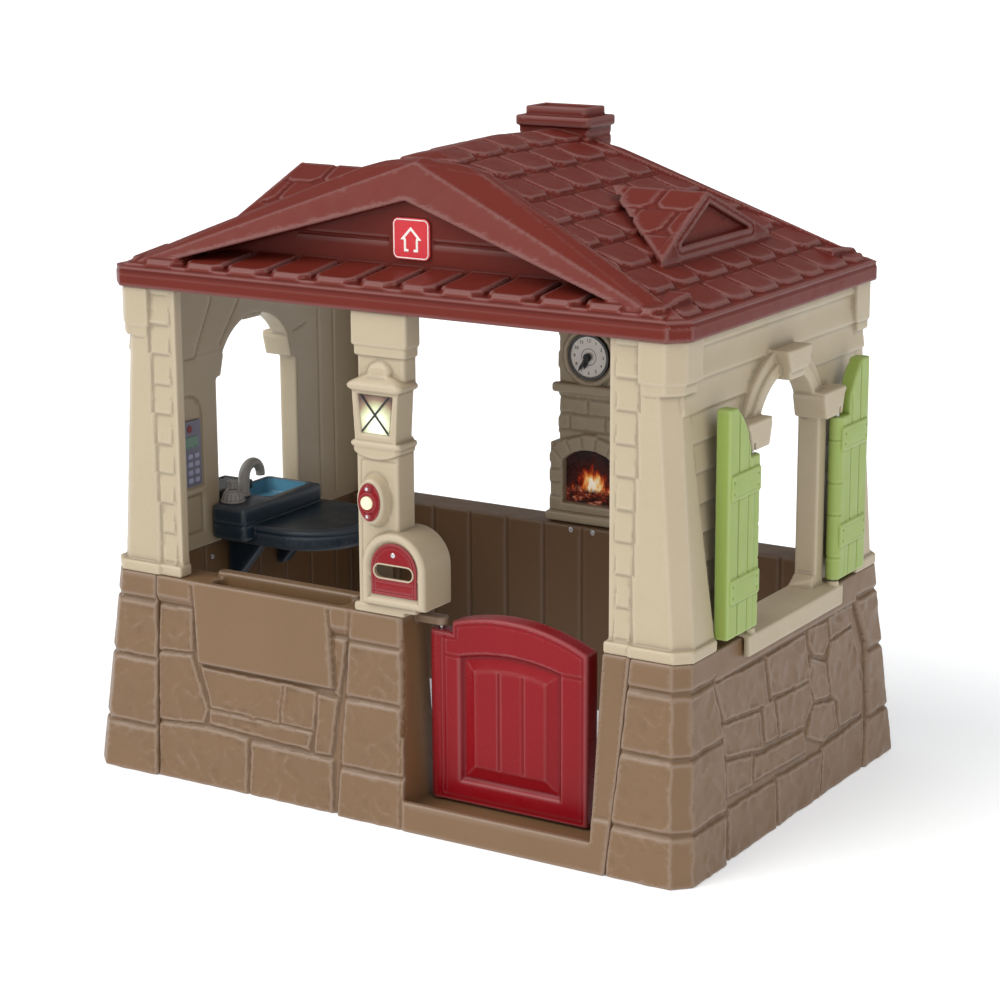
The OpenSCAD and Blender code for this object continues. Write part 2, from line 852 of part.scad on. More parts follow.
// Gooseneck spout: a ten-sided tube swept along an arc that starts upright and bends over the sink
module faucet_spout() {
    sides = 10;
    rings = 18;
    lean = 30;
    rise = 30;
    bend = 210;
    bend_r = 27;
    path = [
        for (i = [0 : rings])
            i < 4
                ? [spout_y + 4 * i / 4, rim_z + 4 + rise * i / 4, 0]
                : let (a = (i - 4) * bend / (rings - 4) * 0.86)
                    [spout_y + 4 + bend_r * (1 - cos(a)), rim_z + 4 + rise + bend_r * sin(a), a]
    ];
    points = [
        for (i = [0 : rings], k = [0 : sides - 1])
            let (p = path[i], b = k * 360 / sides, r = 12 - 3 * i / rings)
            [spout_x + r * cos(b), p[0] + r * sin(b) * cos(p[2]), p[1] - r * sin(b) * sin(p[2])]
    ];
    faces = concat(
        [[for (k = [0 : sides - 1]) k]],
        [[for (k = [0 : sides - 1]) rings * sides + sides - 1 - k]],
        [for (i = [0 : rings - 1], k = [0 : sides - 1])
            [(i + 1) * sides + k, (i + 1) * sides + (k + 1) % sides,
             i * sides + (k + 1) % sides, i * sides + k]]
    );
    color(grey) {
        polyhedron(points, faces);
        bar_z(spout_x, spout_y, 9, rim_z - 10, rim_z + 6);
        bar_z(spout_x, spout_y, 15, rim_z + 0.3, rim_z + 6);
    }
}

module phone_panel() {
    color([0.75, 0.78, 0.85]) block([-skin_inner, -257, 507], [-skin_inner + 3, -187, 637]);
}

module wall_screws() {
    color(steel) for (s = [-1, 1], y = [-152, 152])
        translate([s * side_inner, y, 352]) rotate([0, -90 * s, 0]) cylinder(r = 6, h = 3);
}

lower_wall_left();
lower_wall_right();
front_wall();
back_wall();
upper_wall_left();
upper_wall_right();
roof();
gable_badge();
lantern_post();
lantern_panel();
lantern_bars();
doorbell_bezel();
doorbell_button();
doorbell_spring();
doorbell_module();
battery_door();
doorbell_screws();
mail_plate();
mail_plate_screw();
door();
door_pin_top();
door_pin_bottom();
shutter_front();
shutter_front_pins();
shutter_rear();
shutter_rear_pins();
fireplace_panel();
fire_panel();
hearth_screws();
clock_dial();
clock_pin();
clock_hour_hand();
clock_minute_hand();
kitchen_unit();
griddle();
faucet_base();
faucet_knob();
faucet_spout();
phone_panel();
wall_screws();
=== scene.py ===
import math

import bmesh
import bpy
import numpy as np
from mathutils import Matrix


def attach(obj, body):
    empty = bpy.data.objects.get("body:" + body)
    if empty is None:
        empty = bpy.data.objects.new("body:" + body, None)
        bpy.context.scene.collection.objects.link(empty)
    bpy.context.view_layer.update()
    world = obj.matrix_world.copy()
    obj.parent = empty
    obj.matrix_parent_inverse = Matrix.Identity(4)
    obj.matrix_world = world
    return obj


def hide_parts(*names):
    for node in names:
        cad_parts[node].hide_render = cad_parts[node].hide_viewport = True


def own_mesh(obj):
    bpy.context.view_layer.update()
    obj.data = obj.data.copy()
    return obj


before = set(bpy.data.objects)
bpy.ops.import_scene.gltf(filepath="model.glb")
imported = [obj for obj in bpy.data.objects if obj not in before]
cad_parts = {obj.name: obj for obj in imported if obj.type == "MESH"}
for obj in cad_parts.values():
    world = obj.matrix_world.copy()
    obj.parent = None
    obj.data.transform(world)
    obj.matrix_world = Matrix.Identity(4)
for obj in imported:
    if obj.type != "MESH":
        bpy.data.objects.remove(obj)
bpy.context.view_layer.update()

import openvdb as vdb
from mathutils import Quaternion, Vector

MM = 0.001
SQRT2 = math.sqrt(2)

# ---------------------------------------------------------------- signed distances, in millimetres


class Vol:
    """A regular grid over a box. x, y and z broadcast against each other."""

    def __init__(self, low, high, step):
        self.step = step
        self.low = np.array(low, float) - 3 * step
        self.n = np.ceil((np.array(high, float) - self.low) / step).astype(int) + 4
        axes = [(self.low[i] + step * np.arange(self.n[i])).astype(np.float32) for i in range(3)]
        self.x = axes[0][:, None, None]
        self.y = axes[1][None, :, None]
        self.z = axes[2][None, None, :]


def volume(low, high, step):
    """A grid over the box, and its three coordinates."""
    v = Vol(low, high, step)
    return v, v.x, v.y, v.z


def both(*fields):
    out = fields[0]
    for f in fields[1:]:
        out = np.maximum(out, f)
    return out


def either(*fields):
    out = fields[0]
    for f in fields[1:]:
        out = np.minimum(out, f)
    return out


def cut(a, b):
    return np.maximum(a, -b)


def bevel(a, b, reach):
    """Half space cut off at 45 degrees, where a + b is reach."""
    return (a + b - reach) / SQRT2


def span(c, low, high):
    return np.maximum(low - c, c - high)


def rect(a, b, low, high, r):
    """Rounded rectangle."""
    qa = np.abs(a - (low[0] + high[0]) / 2) - (high[0] - low[0]) / 2 + r
    qb = np.abs(b - (low[1] + high[1]) / 2) - (high[1] - low[1]) / 2 + r
    return np.hypot(np.maximum(qa, 0), np.maximum(qb, 0)) + np.minimum(np.maximum(qa, qb), 0) - r


def disc(a, b, ca, cb, r):
    return np.hypot(a - ca, b - cb) - r


def oval(a, b, ca, cb, ra, rb):
    m = min(ra, rb)
    return (np.sqrt(((a - ca) / ra) ** 2 + ((b - cb) / rb) ** 2) - 1) * m


def poly(a, b, points):
    """Exact distance to a polygon, negative inside."""
    best, inside = None, None
    for (ax, ay), (bx, by) in zip(points, points[1:] + points[:1]):
        ex, ey = bx - ax, by - ay
        px, py = a - ax, b - ay
        t = np.clip((px * ex + py * ey) / (ex * ex + ey * ey), 0, 1)
        d = (px - t * ex) ** 2 + (py - t * ey) ** 2
        c1, c2, c3 = b >= ay, b < by, ex * py > ey * px
        flip = (c1 & c2 & c3) | (~c1 & ~c2 & ~c3)
        best = d if best is None else np.minimum(best, d)
        inside = flip if inside is None else inside ^ flip
    return np.where(inside, -1, 1) * np.sqrt(best)


def stroke(a, b, points):
    """Distance to an open line of points."""
    best = None
    for (ax, ay), (bx, by) in zip(points, points[1:]):
        ex, ey = bx - ax, by - ay
        t = np.clip(((a - ax) * ex + (b - ay) * ey) / (ex * ex + ey * ey), 0, 1)
        d = np.hypot(a - ax - t * ex, b - ay - t * ey)
        best = d if best is None else np.minimum(best, d)
    return best


def smooth(t):
    t = np.clip(t, 0, 1)
    return t * t * (3 - 2 * t)


def near(c, values):
    """Distance to the nearest of some values."""
    return either(*[np.abs(c - value) for value in values])


def dent(dist, width):
    """One on a line, falling to nothing at width from it."""
    return 1 - smooth(np.abs(dist) / width)


def lerp(c, points):
    return np.interp(c, [p[0] for p in points], [p[1] for p in points]).astype(np.float32)


def noise(a, b, cell, seed):
    table = np.random.default_rng(seed).uniform(-1, 1, (97, 89)).astype(np.float32)
    u, w = a / cell + 500.0, b / cell + 500.0
    i, j = np.floor(u).astype(int), np.floor(w).astype(int)
    fu, fw = smooth(u - i), smooth(w - j)
    p = [table[(i + di) % 97, (j + dj) % 89] for di in (0, 1) for dj in (0, 1)]
    return (p[0] * (1 - fw) + p[1] * fw) * (1 - fu) + (p[2] * (1 - fw) + p[3] * fw) * fu


def chips(a, b, seed, size=30.0, depth=3.0):
    """Split-stone surface: shallow facets with sharp ridges between them."""
    n1 = noise(a * 0.9 + b * 0.5, b - a * 0.4, size * 2.0, seed)
    n2 = noise(a * 0.8 - b * 0.6, b * 0.8 + a * 0.6, size * 0.9, seed + 1)
    n3 = noise(a, b, size * 0.33, seed + 2)
    return depth * (0.9 * np.abs(n1) + 0.75 * np.abs(n2) + 0.16 * np.abs(n3))


def stones(a, b, outlines, seed, depth=6.5, edge=6.0):
    """Depth below the stone faces: joints between the outlines, and rough faces."""
    d = either(*[poly(a, b, s) - 4.0 for s in outlines])
    wobble = 1.5 * noise(a, b, 13, seed + 7)
    return depth * smooth((d + wobble + edge) / edge) + chips(a, b, seed) * smooth(-(d + 3) / 8)


def stone_rows(a0, a1, heights, seed, wide=(95, 190)):
    """Outlines of rough rectangular stones in rows."""
    rng = np.random.default_rng(seed)
    out = []
    for z0, z1 in zip(heights, heights[1:]):
        at = a0
        while at < a1 - 30:
            end = at + rng.uniform(*wide)
            if a1 - end < wide[0] * 0.7:
                end = a1
            j = rng.uniform(-6, 6, 8)
            out.append([(at + 3 + j[0], z0 + 3 + j[1] * 0.4), (end - 3 + j[2], z0 + 3 + j[3] * 0.4),
                        (end - 3 + j[4], z1 - 3 + j[5] * 0.4), (at + 3 + j[6], z1 - 3 + j[7] * 0.4)])
            at = end
    return out


def soften(d, times):
    for _ in range(times):
        for axis in range(3):
            d = np.moveaxis(d, axis, 0)
            m = d.copy()
            m[1:-1] = 0.5 * d[1:-1] + 0.25 * (d[:-2] + d[2:])
            d = np.moveaxis(m, 0, axis)
    return np.ascontiguousarray(d)


def sample(field, points):
    i = np.clip(np.rint(points).astype(int), 0, np.array(field.shape) - 1)
    return field[i[:, 0], i[:, 1], i[:, 2]]


def mesh_object(name, verts, faces, edge=None):
    mesh = bpy.data.meshes.new(name)
    count = np.array([len(f) for f in faces], np.int32) if isinstance(faces, list) else None
    if count is None:
        tris, quads = faces
        flat = np.concatenate([tris.ravel(), quads.ravel()]).astype(np.int32)
        count = np.concatenate([np.full(len(tris), 3), np.full(len(quads), 4)]).astype(np.int32)
    else:
        flat = np.concatenate([np.array(f) for f in faces]).astype(np.int32)
    mesh.vertices.add(len(verts))
    mesh.vertices.foreach_set("co", (np.asarray(verts, np.float32) * MM).ravel())
    mesh.loops.add(len(flat))
    mesh.loops.foreach_set("vertex_index", flat)
    mesh.polygons.add(len(count))
    mesh.polygons.foreach_set("loop_start", np.concatenate([[0], np.cumsum(count)[:-1]]).astype(np.int32))
    mesh.update(calc_edges=True)
    mesh.validate()
    mesh.shade_smooth()
    if edge is not None:
        mesh.attributes.new("edge", "FLOAT", "POINT").data.foreach_set("value", edge.astype(np.float32))
    ob = bpy.data.objects.new(name, mesh)
    bpy.context.scene.collection.objects.link(ob)
    return ob


def shape(name, v, d, paint, nodes, body="house", soft=1, turn=(1, 1), adapt=0.002):
    """Turns a field into a piece that stands for CAD nodes.

    paint is (material, slot), and the slot is not used; turn gives the signs of x and y.
    """
    d = soften(np.broadcast_to(d, tuple(v.n)).astype(np.float32), soft)
    # bent is the field's curvature, stored as the edge attribute; the materials use it to paint highlights on
    # ridges and shade in grooves.
    bent = soften(d, 3) - d
    band = 3.0 * v.step
    grid = vdb.FloatGrid(band)
    grid.copyFromArray(np.clip(d, -band, band))
    points, tris, quads = grid.convertToPolygons(isovalue=0.0, adaptivity=adapt)
    edge = np.clip(sample(bent, points) / (0.16 * v.step), -1, 1)
    points = points * v.step + v.low
    sx, sy = turn
    points = points * np.array([sx, sy, 1.0])
    if sx * sy > 0:
        tris, quads = tris[:, ::-1], quads[:, ::-1]
    ob = mesh_object(name, points, (tris, quads), edge)
    material, slot = paint
    ob.data.materials.append(material)
    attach(ob, body)
    if nodes:
        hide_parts(*nodes)
    return ob


# ---------------------------------------------------------------- materials


def linear(rgb):
    return [((c / 255 + 0.055) / 1.055) ** 2.4 if c > 10 else c / 255 / 12.92 for c in rgb]


class Tree:
    def __init__(self, name, rough=0.45, **sockets):
        self.mat = bpy.data.materials.new(name)
        self.mat.use_nodes = True
        self.nodes, self.links = self.mat.node_tree.nodes, self.mat.node_tree.links
        self.shader = self.nodes["Principled BSDF"]
        self.shader.inputs["Roughness"].default_value = rough
        for key, value in sockets.items():
            self.shader.inputs[key.replace("_", " ")].default_value = value
        self.coords = self.add("ShaderNodeTexCoord").outputs["Object"]

    def add(self, kind, **values):
        node = self.nodes.new(kind)
        for key, value in values.items():
            if hasattr(node, key):
                setattr(node, key, value)
            else:
                self.feed(node.inputs[key.replace("_", " ")], value)
        return node

    def feed(self, socket, value):
        if isinstance(value, bpy.types.NodeSocket):
            self.links.new(value, socket)
        else:
            socket.default_value = value

    def scaled(self, scale, turn=(0, 0, 0)):
        node = self.add("ShaderNodeMapping", Vector=self.coords, Scale=scale, Rotation=turn)
        return node.outputs["Vector"]

    def noise(self, scale, detail=3.0, vector=None, rough=0.55, distortion=0.0):
        node = self.add("ShaderNodeTexNoise", Vector=vector or self.coords, Scale=scale, Detail=detail,
                        Roughness=rough, Distortion=distortion)
        return node.outputs["Fac"]

    def ramp(self, value, low, high, to_low=0.0, to_high=1.0):
        node = self.add("ShaderNodeMapRange", Value=value, From_Min=low, From_Max=high, To_Min=to_low,
                        To_Max=to_high)
        return node.outputs["Result"]

    def math(self, op, a, b=0.0):
        node = self.nodes.new("ShaderNodeMath")
        node.operation = op
        self.feed(node.inputs[0], a)
        self.feed(node.inputs[1], b)
        return node.outputs[0]

    def mix(self, fac, a, b):
        node = self.nodes.new("ShaderNodeMix")
        node.data_type = "RGBA"
        self.feed(node.inputs[0], fac)
        self.feed(node.inputs[6], a)
        self.feed(node.inputs[7], b)
        return node.outputs[2]

    def edge(self):
        return self.add("ShaderNodeAttribute", attribute_name="edge").outputs["Fac"]

    def colour(self, value):
        self.feed(self.shader.inputs["Base Color"], value)

    def rough(self, value):
        self.feed(self.shader.inputs["Roughness"], value)

    def bump(self, height, strength, distance, normal=None):
        node = self.add("ShaderNodeBump", Strength=strength, Distance=distance, Height=height)
        if normal is not None:
            self.feed(node.inputs["Normal"], normal)
        self.links.new(node.outputs["Normal"], self.shader.inputs["Normal"])
        return node.outputs["Normal"]


def shade(rgb, k):
    return [min(1.0, c * k) for c in rgb] + [1.0]


def within(t, low, high):
    """One inside a box given in metres, falling to nothing over the last three millimetres."""
    split = t.add("ShaderNodeSeparateXYZ", Vector=t.coords)
    mask = 1.0
    for axis, a, b in zip("XYZ", low, high):
        c = split.outputs[axis]
        mask = t.math("MULTIPLY", mask, t.math("MULTIPLY", t.ramp(c, a, a + 0.003), t.ramp(c, b, b - 0.003)))
    return mask


def plastic(name, rgb, rough=0.42, vary=0.05, grain=0.12, edge_highlight=0.28, sink=0.35, coarse=0.0, wood=None,
            inside=None, **sockets):
    """Moulded plastic: slight drift of colour, convex edges painted paler as a painted highlight, grooves
    painted darker as painted shade, and a fine skin.
    """
    t = Tree(name, rough, **sockets)
    base = linear(rgb)
    drift = t.ramp(t.noise(5.0, 4.0), 0.3, 0.7)
    col = t.mix(drift, shade(base, 1 - vary), shade(base, 1 + vary))
    fleck = t.ramp(t.noise(310.0, 2.0), 0.35, 0.75)
    col = t.mix(t.math("MULTIPLY", fleck, 0.16), col, shade(base, 1.3))
    edge = t.edge()
    # Painted highlight: convex edges, found by the edge attribute, are painted paler.
    col = t.mix(t.ramp(edge, 0.15, 1.0, 0.0, edge_highlight), col, shade([c * 0.75 + 0.25 for c in base], 1.1))
    # Painted shade: grooves and hollows, found by the edge attribute, are painted darker by sink.
    col = t.mix(t.ramp(edge, -0.12, -0.9, 0.0, sink), col, shade(base, 0.42))
    # Painted light: inside the box the colour becomes a lighter copy, standing for a lit inside.
    if inside:
        low, high, lit_tint = inside
        col = t.mix(within(t, low, high), col, shade(linear(lit_tint), 1.0))
    t.colour(col)
    t.rough(t.ramp(t.noise(28.0, 3.0), 0.25, 0.75, rough - 0.07, rough + 0.08))
    height = t.noise(900.0, 3.0)
    normal = t.bump(height, grain, 0.0006)
    if coarse:
        normal = t.bump(t.noise(95.0, 5.0, rough=0.65), coarse, 0.003, normal)
    if wood:
        fibre = t.noise(1.0, 4.0, vector=t.scaled(wood), rough=0.6, distortion=0.4)
        t.bump(fibre, 0.22, 0.002, normal)
    return t.mat


BROWN = (plastic("brown_moulded", (112, 85, 58), 0.42, coarse=0.13, grain=0.1, edge_highlight=0.2, sink=0.42),
         "brown_plastic")
CREAM = (plastic("cream_moulded", (172, 158, 133), 0.42, vary=0.025, grain=0.1, edge_highlight=0.14, sink=0.45),
         "cream_plastic")
MAROON = (plastic("maroon_moulded", (101, 36, 28), 0.4, vary=0.05, grain=0.1, edge_highlight=0.2, sink=0.5,
                  wood=(12, 150, 30), Specular_IOR_Level=0.14),
          "maroon_plastic")
RED = (plastic("red_moulded", (127, 7, 19), 0.3, vary=0.03, grain=0.06, edge_highlight=0.16, sink=0.5,
               Specular_IOR_Level=0.22),
       "red_plastic")
GREEN = (plastic("green_moulded", (138, 160, 75), 0.4, vary=0.03, grain=0.08, edge_highlight=0.18, sink=0.5,
                 wood=(60, 190, 9)),
         "green_plastic")


# ---------------------------------------------------------------- lower walls

HOUSE = "house"
TOP = 380.0
DOOR_HINGE = (96, -342)
SHUTTER_HINGE = (617, 172)
COURSES = (330.0, 219.0, 91.0)


def planks(c, pitch=88.0):
    return np.abs((c - pitch / 2) % pitch - pitch / 2)


SIDE_STONES = [
    [(-287, 321), (-99, 314), (-87, 231), (-256, 249)], [(-84, 315), (73, 317), (79, 230), (-73, 240)],
    [(88, 321), (166, 318), (167, 276), (142, 259), (103, 269), (87, 295)],
    [(178, 274), (272, 278), (307, 180), (287, 106), (197, 107), (195, 156), (166, 179), (160, 239)],
    [(91, 267), (152, 242), (160, 177), (97, 185), (75, 233)],
    [(-52, 229), (78, 224), (87, 182), (45, 150), (-49, 160)],
    [(-107, 231), (-67, 234), (-59, 163), (-106, 165)], [(-268, 242), (-121, 226), (-119, 158), (-262, 186)],
    [(92, 177), (176, 163), (188, 107), (123, 99), (58, 128)],
    [(-148, 150), (44, 142), (50, 102), (-163, 111)],
    [(-262, 175), (-162, 157), (-168, 106), (-262, 113)], [(118, 88), (300, 95), (290, -12), (99, -12)],
    [(-69, 88), (113, 82), (91, -12), (-77, -12)], [(-260, 92), (-79, 86), (-87, -12), (-270, -12)],
    [(175, 322), (278, 322), (268, 286), (178, 282)],
]
FRONT_STONES = [
    [(-500, 322), (-425, 325), (-421, 247), (-500, 240)],
    [(-500, 232), (-422, 237), (-378, 143), (-387, 116), (-500, 107)],
    [(-398, 219), (-211, 218), (-214, 146), (-370, 149)],
    [(-206, 218), (-134, 216), (-137, 145), (-209, 147)],
    [(-110, 320), (-76, 318), (-84, 216), (-95, 223)], [(-128, 211), (-86, 209), (-96, 106), (-131, 104)],
    [(-372, 142), (-212, 141), (-140, 139), (-146, 108), (-239, 112), (-374, 118)],
    [(-500, 99), (-380, 108), (-284, 101), (-278, -12), (-500, -12)],
    [(-274, 99), (-92, 96), (-84, -12), (-270, -12)],
]
FRONT_PANEL = [(-428, 392), (-116, 392), (-93, 227), (-403, 227)]
PILASTER = [(-66, 392), (44, 392), (70, -12), (-73, -12)]


def side_wall(name, node, sx, sy):
    v, x, y, z = volume((484, -447, 0), (647, 447, TOP), 2.2)
    ay, k = np.abs(y), z / TOP
    groove = 6.0 * dent(near(z, COURSES) + 1.5 * noise(y, z, 40, 5), 9)
    seam = np.where(y < 0, lerp(z, [(0, 283), (181, 265), (257, 272), (325, 292), (380, 292)]),
                    lerp(z, [(0, 282), (105, 322), (234, 326), (324, 288), (380, 284)]))
    corner = ay > seam
    rough = chips(y, z, 11) * smooth((324 - z) / 12)
    wall = 5.0 * smooth((330 - z) / 12) + np.where(z < 326, 1, 0.0) * stones(y, z, SIDE_STONES, 21)
    relief_x = np.where(corner, groove + rough, wall) + 5.0 * dent(ay - seam, 9) * smooth((345 - z) / 20)
    relief_y = groove + chips(x, z, 12) * smooth((324 - z) / 12)
    fx = (x - (645 - 32 * k)) * 0.9965 + relief_x
    fy = (ay - (445 - 47 * k)) * 0.9924 + relief_y
    fd = bevel(x, ay, 1054 - 69 * k) + groove
    cabin = either(565 + 2.6 * dent(planks(y), 4.5) - x, 320 - ay)
    d = both(fx, fy, fd, (486 + 22 * k) - x, -z, z - TOP, cabin)
    shape(name, v, d, BROWN, [node], turn=(sx, sy), adapt=0.004)


def face_y(z):
    return 445 - 47 * z / TOP


def front_wall():
    v, x, y, z = volume((-509, -446, 0), (509, -319, 390), 2.2)
    k = z / TOP
    panel = poly(x, z, FRONT_PANEL)
    post = poly(x, z, PILASTER)
    wall = 6.5 * smooth((346 - z) / 14) + stones(x, z, FRONT_STONES, 41) * smooth((334 - z) / 8)
    wall = np.where(x > 60, 0, wall)
    post_joints = near(z, (322, 219, 91))
    post_relief = 5.5 * dent(post_joints, 8) + chips(x, z, 44) * smooth((318 - z) / 12)
    relief = np.where(post < 0, post_relief, np.where(panel < 0, 0.0, wall))
    relief = relief + 4.0 * dent(panel, 5) * (z < 374) + 3.0 * dent(post, 6)
    relief = relief + np.where(x > 455, 4.0 * smooth((z - 92) / 8) * smooth((492 - x + 12 * k) / 6), 0)
    back = y + 320 + 2.6 * dent(planks(x), 4.5)
    d = both((-y - face_y(z)) * 0.9924 + relief, np.abs(x) - (485.6 + 22 * k), back, -z, z - TOP)
    rim = both(rect(x, y, (-405, -347), (-80, -320), 10), span(z, 300, 390))
    d = either(d, rim)
    opening = both(poly(x, z, [(70, 38), (453, 38), (453, 420), (43, 420)]), y + 319, -447 - y)
    opening = cut(opening, both(span(y, -470, -425), z - 53))
    lug = either(disc(x, y, *DOOR_HINGE, 13), rect(x, y, (20, -354), (96, -330), 2))
    opening = cut(opening, both(lug, span(z, 363, 379)))
    d = cut(d, opening)
    trough = both(rect(x, y, (-392, -383), (-90, -345), 14), 262 - z)
    d = cut(d, trough)
    shape("front_wall_stone", v, d, BROWN, ["front_wall"], adapt=0.004)


def back_wall():
    v, x, y, z = volume((-509, 319, 0), (509, 446, TOP), 2.2)
    outlines = stone_rows(-500, 500, [-14, 88, 140, 222, 322], 63)
    relief = 5.0 * smooth((344 - z) / 14) + stones(x, z, outlines, 61) * smooth((332 - z) / 8)
    d = both((y - face_y(z)) * 0.9924 + relief, np.abs(x) - (485.6 + 22 * z / TOP),
             320 + 3.2 * dent(planks(x), 5) - y, -z, z - TOP)
    shape("back_wall_stone", v, d, BROWN, ["back_wall"], adapt=0.004)


side_wall("lower_wall_right_stone", "lower_wall_right", 1, 1)
side_wall("lower_wall_left_stone", "lower_wall_left", -1, -1)
front_wall()
back_wall()

# ---------------------------------------------------------------- upper walls

EAVE = 923.0
BLOCK_LINES = (406.0, 462.4, 518.8, 575.4, 631.7, 688.2, 744.0, 800.6, 855.6, 912.0)
SEAM_WOBBLE = (-3, 3, 1, -2, 2, -1, 0, 1, -1, 2)


def column_face(x, z):
    """Relief of a column's front: an inner flange, a run of lapped blocks, and the tapered shaft."""
    right = 503 + 13 * np.clip((z - 450) / 400, 0, 1.2)
    left = np.full_like(z, 469.0)
    rise = np.zeros_like(z)
    for i, (z0, z1) in enumerate(zip(BLOCK_LINES, BLOCK_LINES[1:])):
        row = (z >= z0) & (z < z1)
        t = (z - z0) / (z1 - z0)
        left = np.where(row, 469.0 + SEAM_WOBBLE[i] * 0.6 + 3.0 * t, left)
        right = right + np.where(row, SEAM_WOBBLE[-1 - i] * 0.8 - 3.0 * t, 0)
        rise = np.where(row, t, rise)
    foot = smooth((0.06 - rise) / 0.05) * (z > BLOCK_LINES[0])
    block = 1.0 + 5.0 * rise + 3.0 * foot * (rise < 0.12)
    relief = np.where(x < left, 5.5, np.where(x < right - 4, block, 0.0))
    gap = 5.0 * smooth((x - right + 7) / 3) * smooth((right + 4 - x) / 4)
    return np.maximum(relief, gap)


def niche_face(y, z):
    """Depth of the marks moulded into the wall's inner face."""
    lines = either(stroke(y, z, [(-142, 923), (-142, 860), (-186, 780), (-196, 757)]),
                   stroke(y, z, [(-54, 923), (-54, 850), (-118, 770)]),
                   stroke(y, z, [(-230, 757), (-118, 757)]), stroke(y, z, [(118, 757), (168, 770)]),
                   stroke(y, z, [(210, 923), (210, 400)]), stroke(y, z, [(262, 923), (262, 400)]))
    niche = either(rect(y, z, (-268, 500), (-176, 640), 6), disc(y, z, -222, 640, 46))
    lower = rect(y, z, (-264, 410), (-180, 488), 6)
    return 2.5 * dent(lines, 4) + 3.5 * smooth((2 - niche) / 4) + 6.0 * smooth((2 - lower) / 4)


def upper_wall(name, node, sx, sy, lugs, marks):
    v, x, y, z = volume((450, -397, 344), (641, 397, EAVE), 2.2)
    ay = np.abs(y)
    lap = ((z - 850) / 53.5) % 1.0
    siding = 5.0 * smooth(lap * 1.15)
    inside = 558 + niche_face(y, z) * marks
    skin = both(inside - x, x - 585 + siding, ay - 359, 380 - z, z - EAVE)

    def corner(xs, ys, side):
        """Plan of an L round the wall's corner, its side leg starting at side."""
        front_leg = both(span(x, *xs), span(ay, *ys))
        return either(front_leg, both(span(x, 558, xs[1]), span(ay, side, ys[1])))

    t = np.clip((z - 401) / 449, 0, 1)
    front_shaft = both(ay - 386 + column_face(x, z), 358 - ay, x - (609 - 32 * t), 456 - x)
    side_shaft = both(ay - 386, (282 + 56 * t) - ay, 558 - x, x - (609 - 32 * t))
    shaft = both(either(front_shaft, side_shaft), span(z, 390, 852),
                 bevel(x, ay, 967 - 31 * t))
    flange = both(corner((452, 615), (358, 396), 284), span(z, 380, 401), bevel(x, ay, 985),
                  ay - 396 + 4.0 * smooth((503 - x) / 4))
    ring = both(corner((517, 588), (358, 388), 318), span(z, 832, 850), bevel(x, ay, 951))
    head = both(corner((513, 592), (358, 390), 305), span(z, 850, EAVE), bevel(x, ay, 954))
    strip = both(span(x, 456, 525), span(ay, 358, 386), ay - 386 + column_face(x, z), span(z, 840, EAVE))
    head = either(head, strip)
    r = disc(y, z, 0, 690, 0)
    arch = both(either(both(x - 601, r - 147), both(x - 595, r - 168)), 570 - x, 707 - z)
    jamb = both(span(x, 570, 601), span(ay, 120, 164), span(z, 380, 707))
    impost = both(poly(ay, z, [(-50, 707), (181, 707), (195, 757), (-50, 757)]), span(x, 558, 624))
    lobe = both(disc(ay, z, 190, 751, 5) - 2, span(x, 566, 624))
    d = either(skin, shaft, flange, ring, head, arch, jamb, impost, lobe)
    hole = either(rect(ay, z, (-131, 300), (131, 707), 8),
                  poly(ay, z, [(-118, 700), (118, 700), (103, 757), (-103, 757)]), both(r - 124, 750 - z))
    d = cut(d, both(hole, 556 - x))
    key = both(poly(y, z, [(-28, 803), (28, 803), (49, 858), (-49, 858)]), span(x, 566, 624),
               x - 624 + 6.0 * smooth((822 - z) / 8))
    sill_profile = [(558, 380), (558, 394), (601, 391), (630, 384), (630, 347), (617, 345), (617, 380)]
    sill = both(poly(x, z, sill_profile), span(y, -192, 192))
    gusset = both(poly(ay, x, [(131, 560), (131, 601), (118, 601), (100, 560)]), span(z, 380, 412),
                  (z - 394) - (ay - 100) * 0.7)
    d = either(d, key, sill, gusset)
    if lugs:
        d = either(d, both(disc(x, ay, *SHUTTER_HINGE, 11), span(z, 380, 395.6)))
        d = cut(d, both(disc(x, ay, *SHUTTER_HINGE, 5), span(z, 384, 400)))
        d = cut(d, both(disc(x, ay, *SHUTTER_HINGE, 5), span(z, 700, 722)))
    shape(name, v, d, CREAM, [node], turn=(sx, sy), adapt=0.006)


# ---------------------------------------------------------------- roof


def hull(points):
    """Outward planes of a convex hull, as (normal, offset)."""
    bm = bmesh.new()
    for p in points:
        bm.verts.new(p)
    bmesh.ops.convex_hull(bm, input=list(bm.verts))
    middle = sum((v.co for v in bm.verts), Vector()) / len(bm.verts)
    out = {}
    for f in bm.faces:
        f.normal_update()
        n, c = f.normal.copy(), f.normal.dot(f.verts[0].co)
        if n.dot(middle) > c:
            n, c = -n, -c
        out[tuple(round(k, 3) for k in (*n, c * 0.02))] = (n, c)
    bm.free()
    return list(out.values())


def inside_planes(v, planes):
    d = None
    for n, c in planes:
        p = (n.x * v.x + n.y * v.y) + (n.z * v.z - c)
        d = p if d is None else np.maximum(d, p, out=d)
    return d


def slope_hull(t, z0, hy, hx):
    c = 34
    base = [(hx - c, hy, z0), (hx, hy - c, z0)]
    pts = [(sx * px, sy * py, pz) for px, py, pz in base for sx in (1, -1) for sy in (1, -1)]
    pts += [(0, s * (200 - t), 1191 - t) for s in (1, -1)] + [(0, s * (268 - t), 1170 - t) for s in (1, -1)]
    pts += [(r * 130, s * (246 - t), 1152 - t) for s in (1, -1) for r in (1, -1)] + [(0, 0, 1200 - t)]
    return hull(pts)


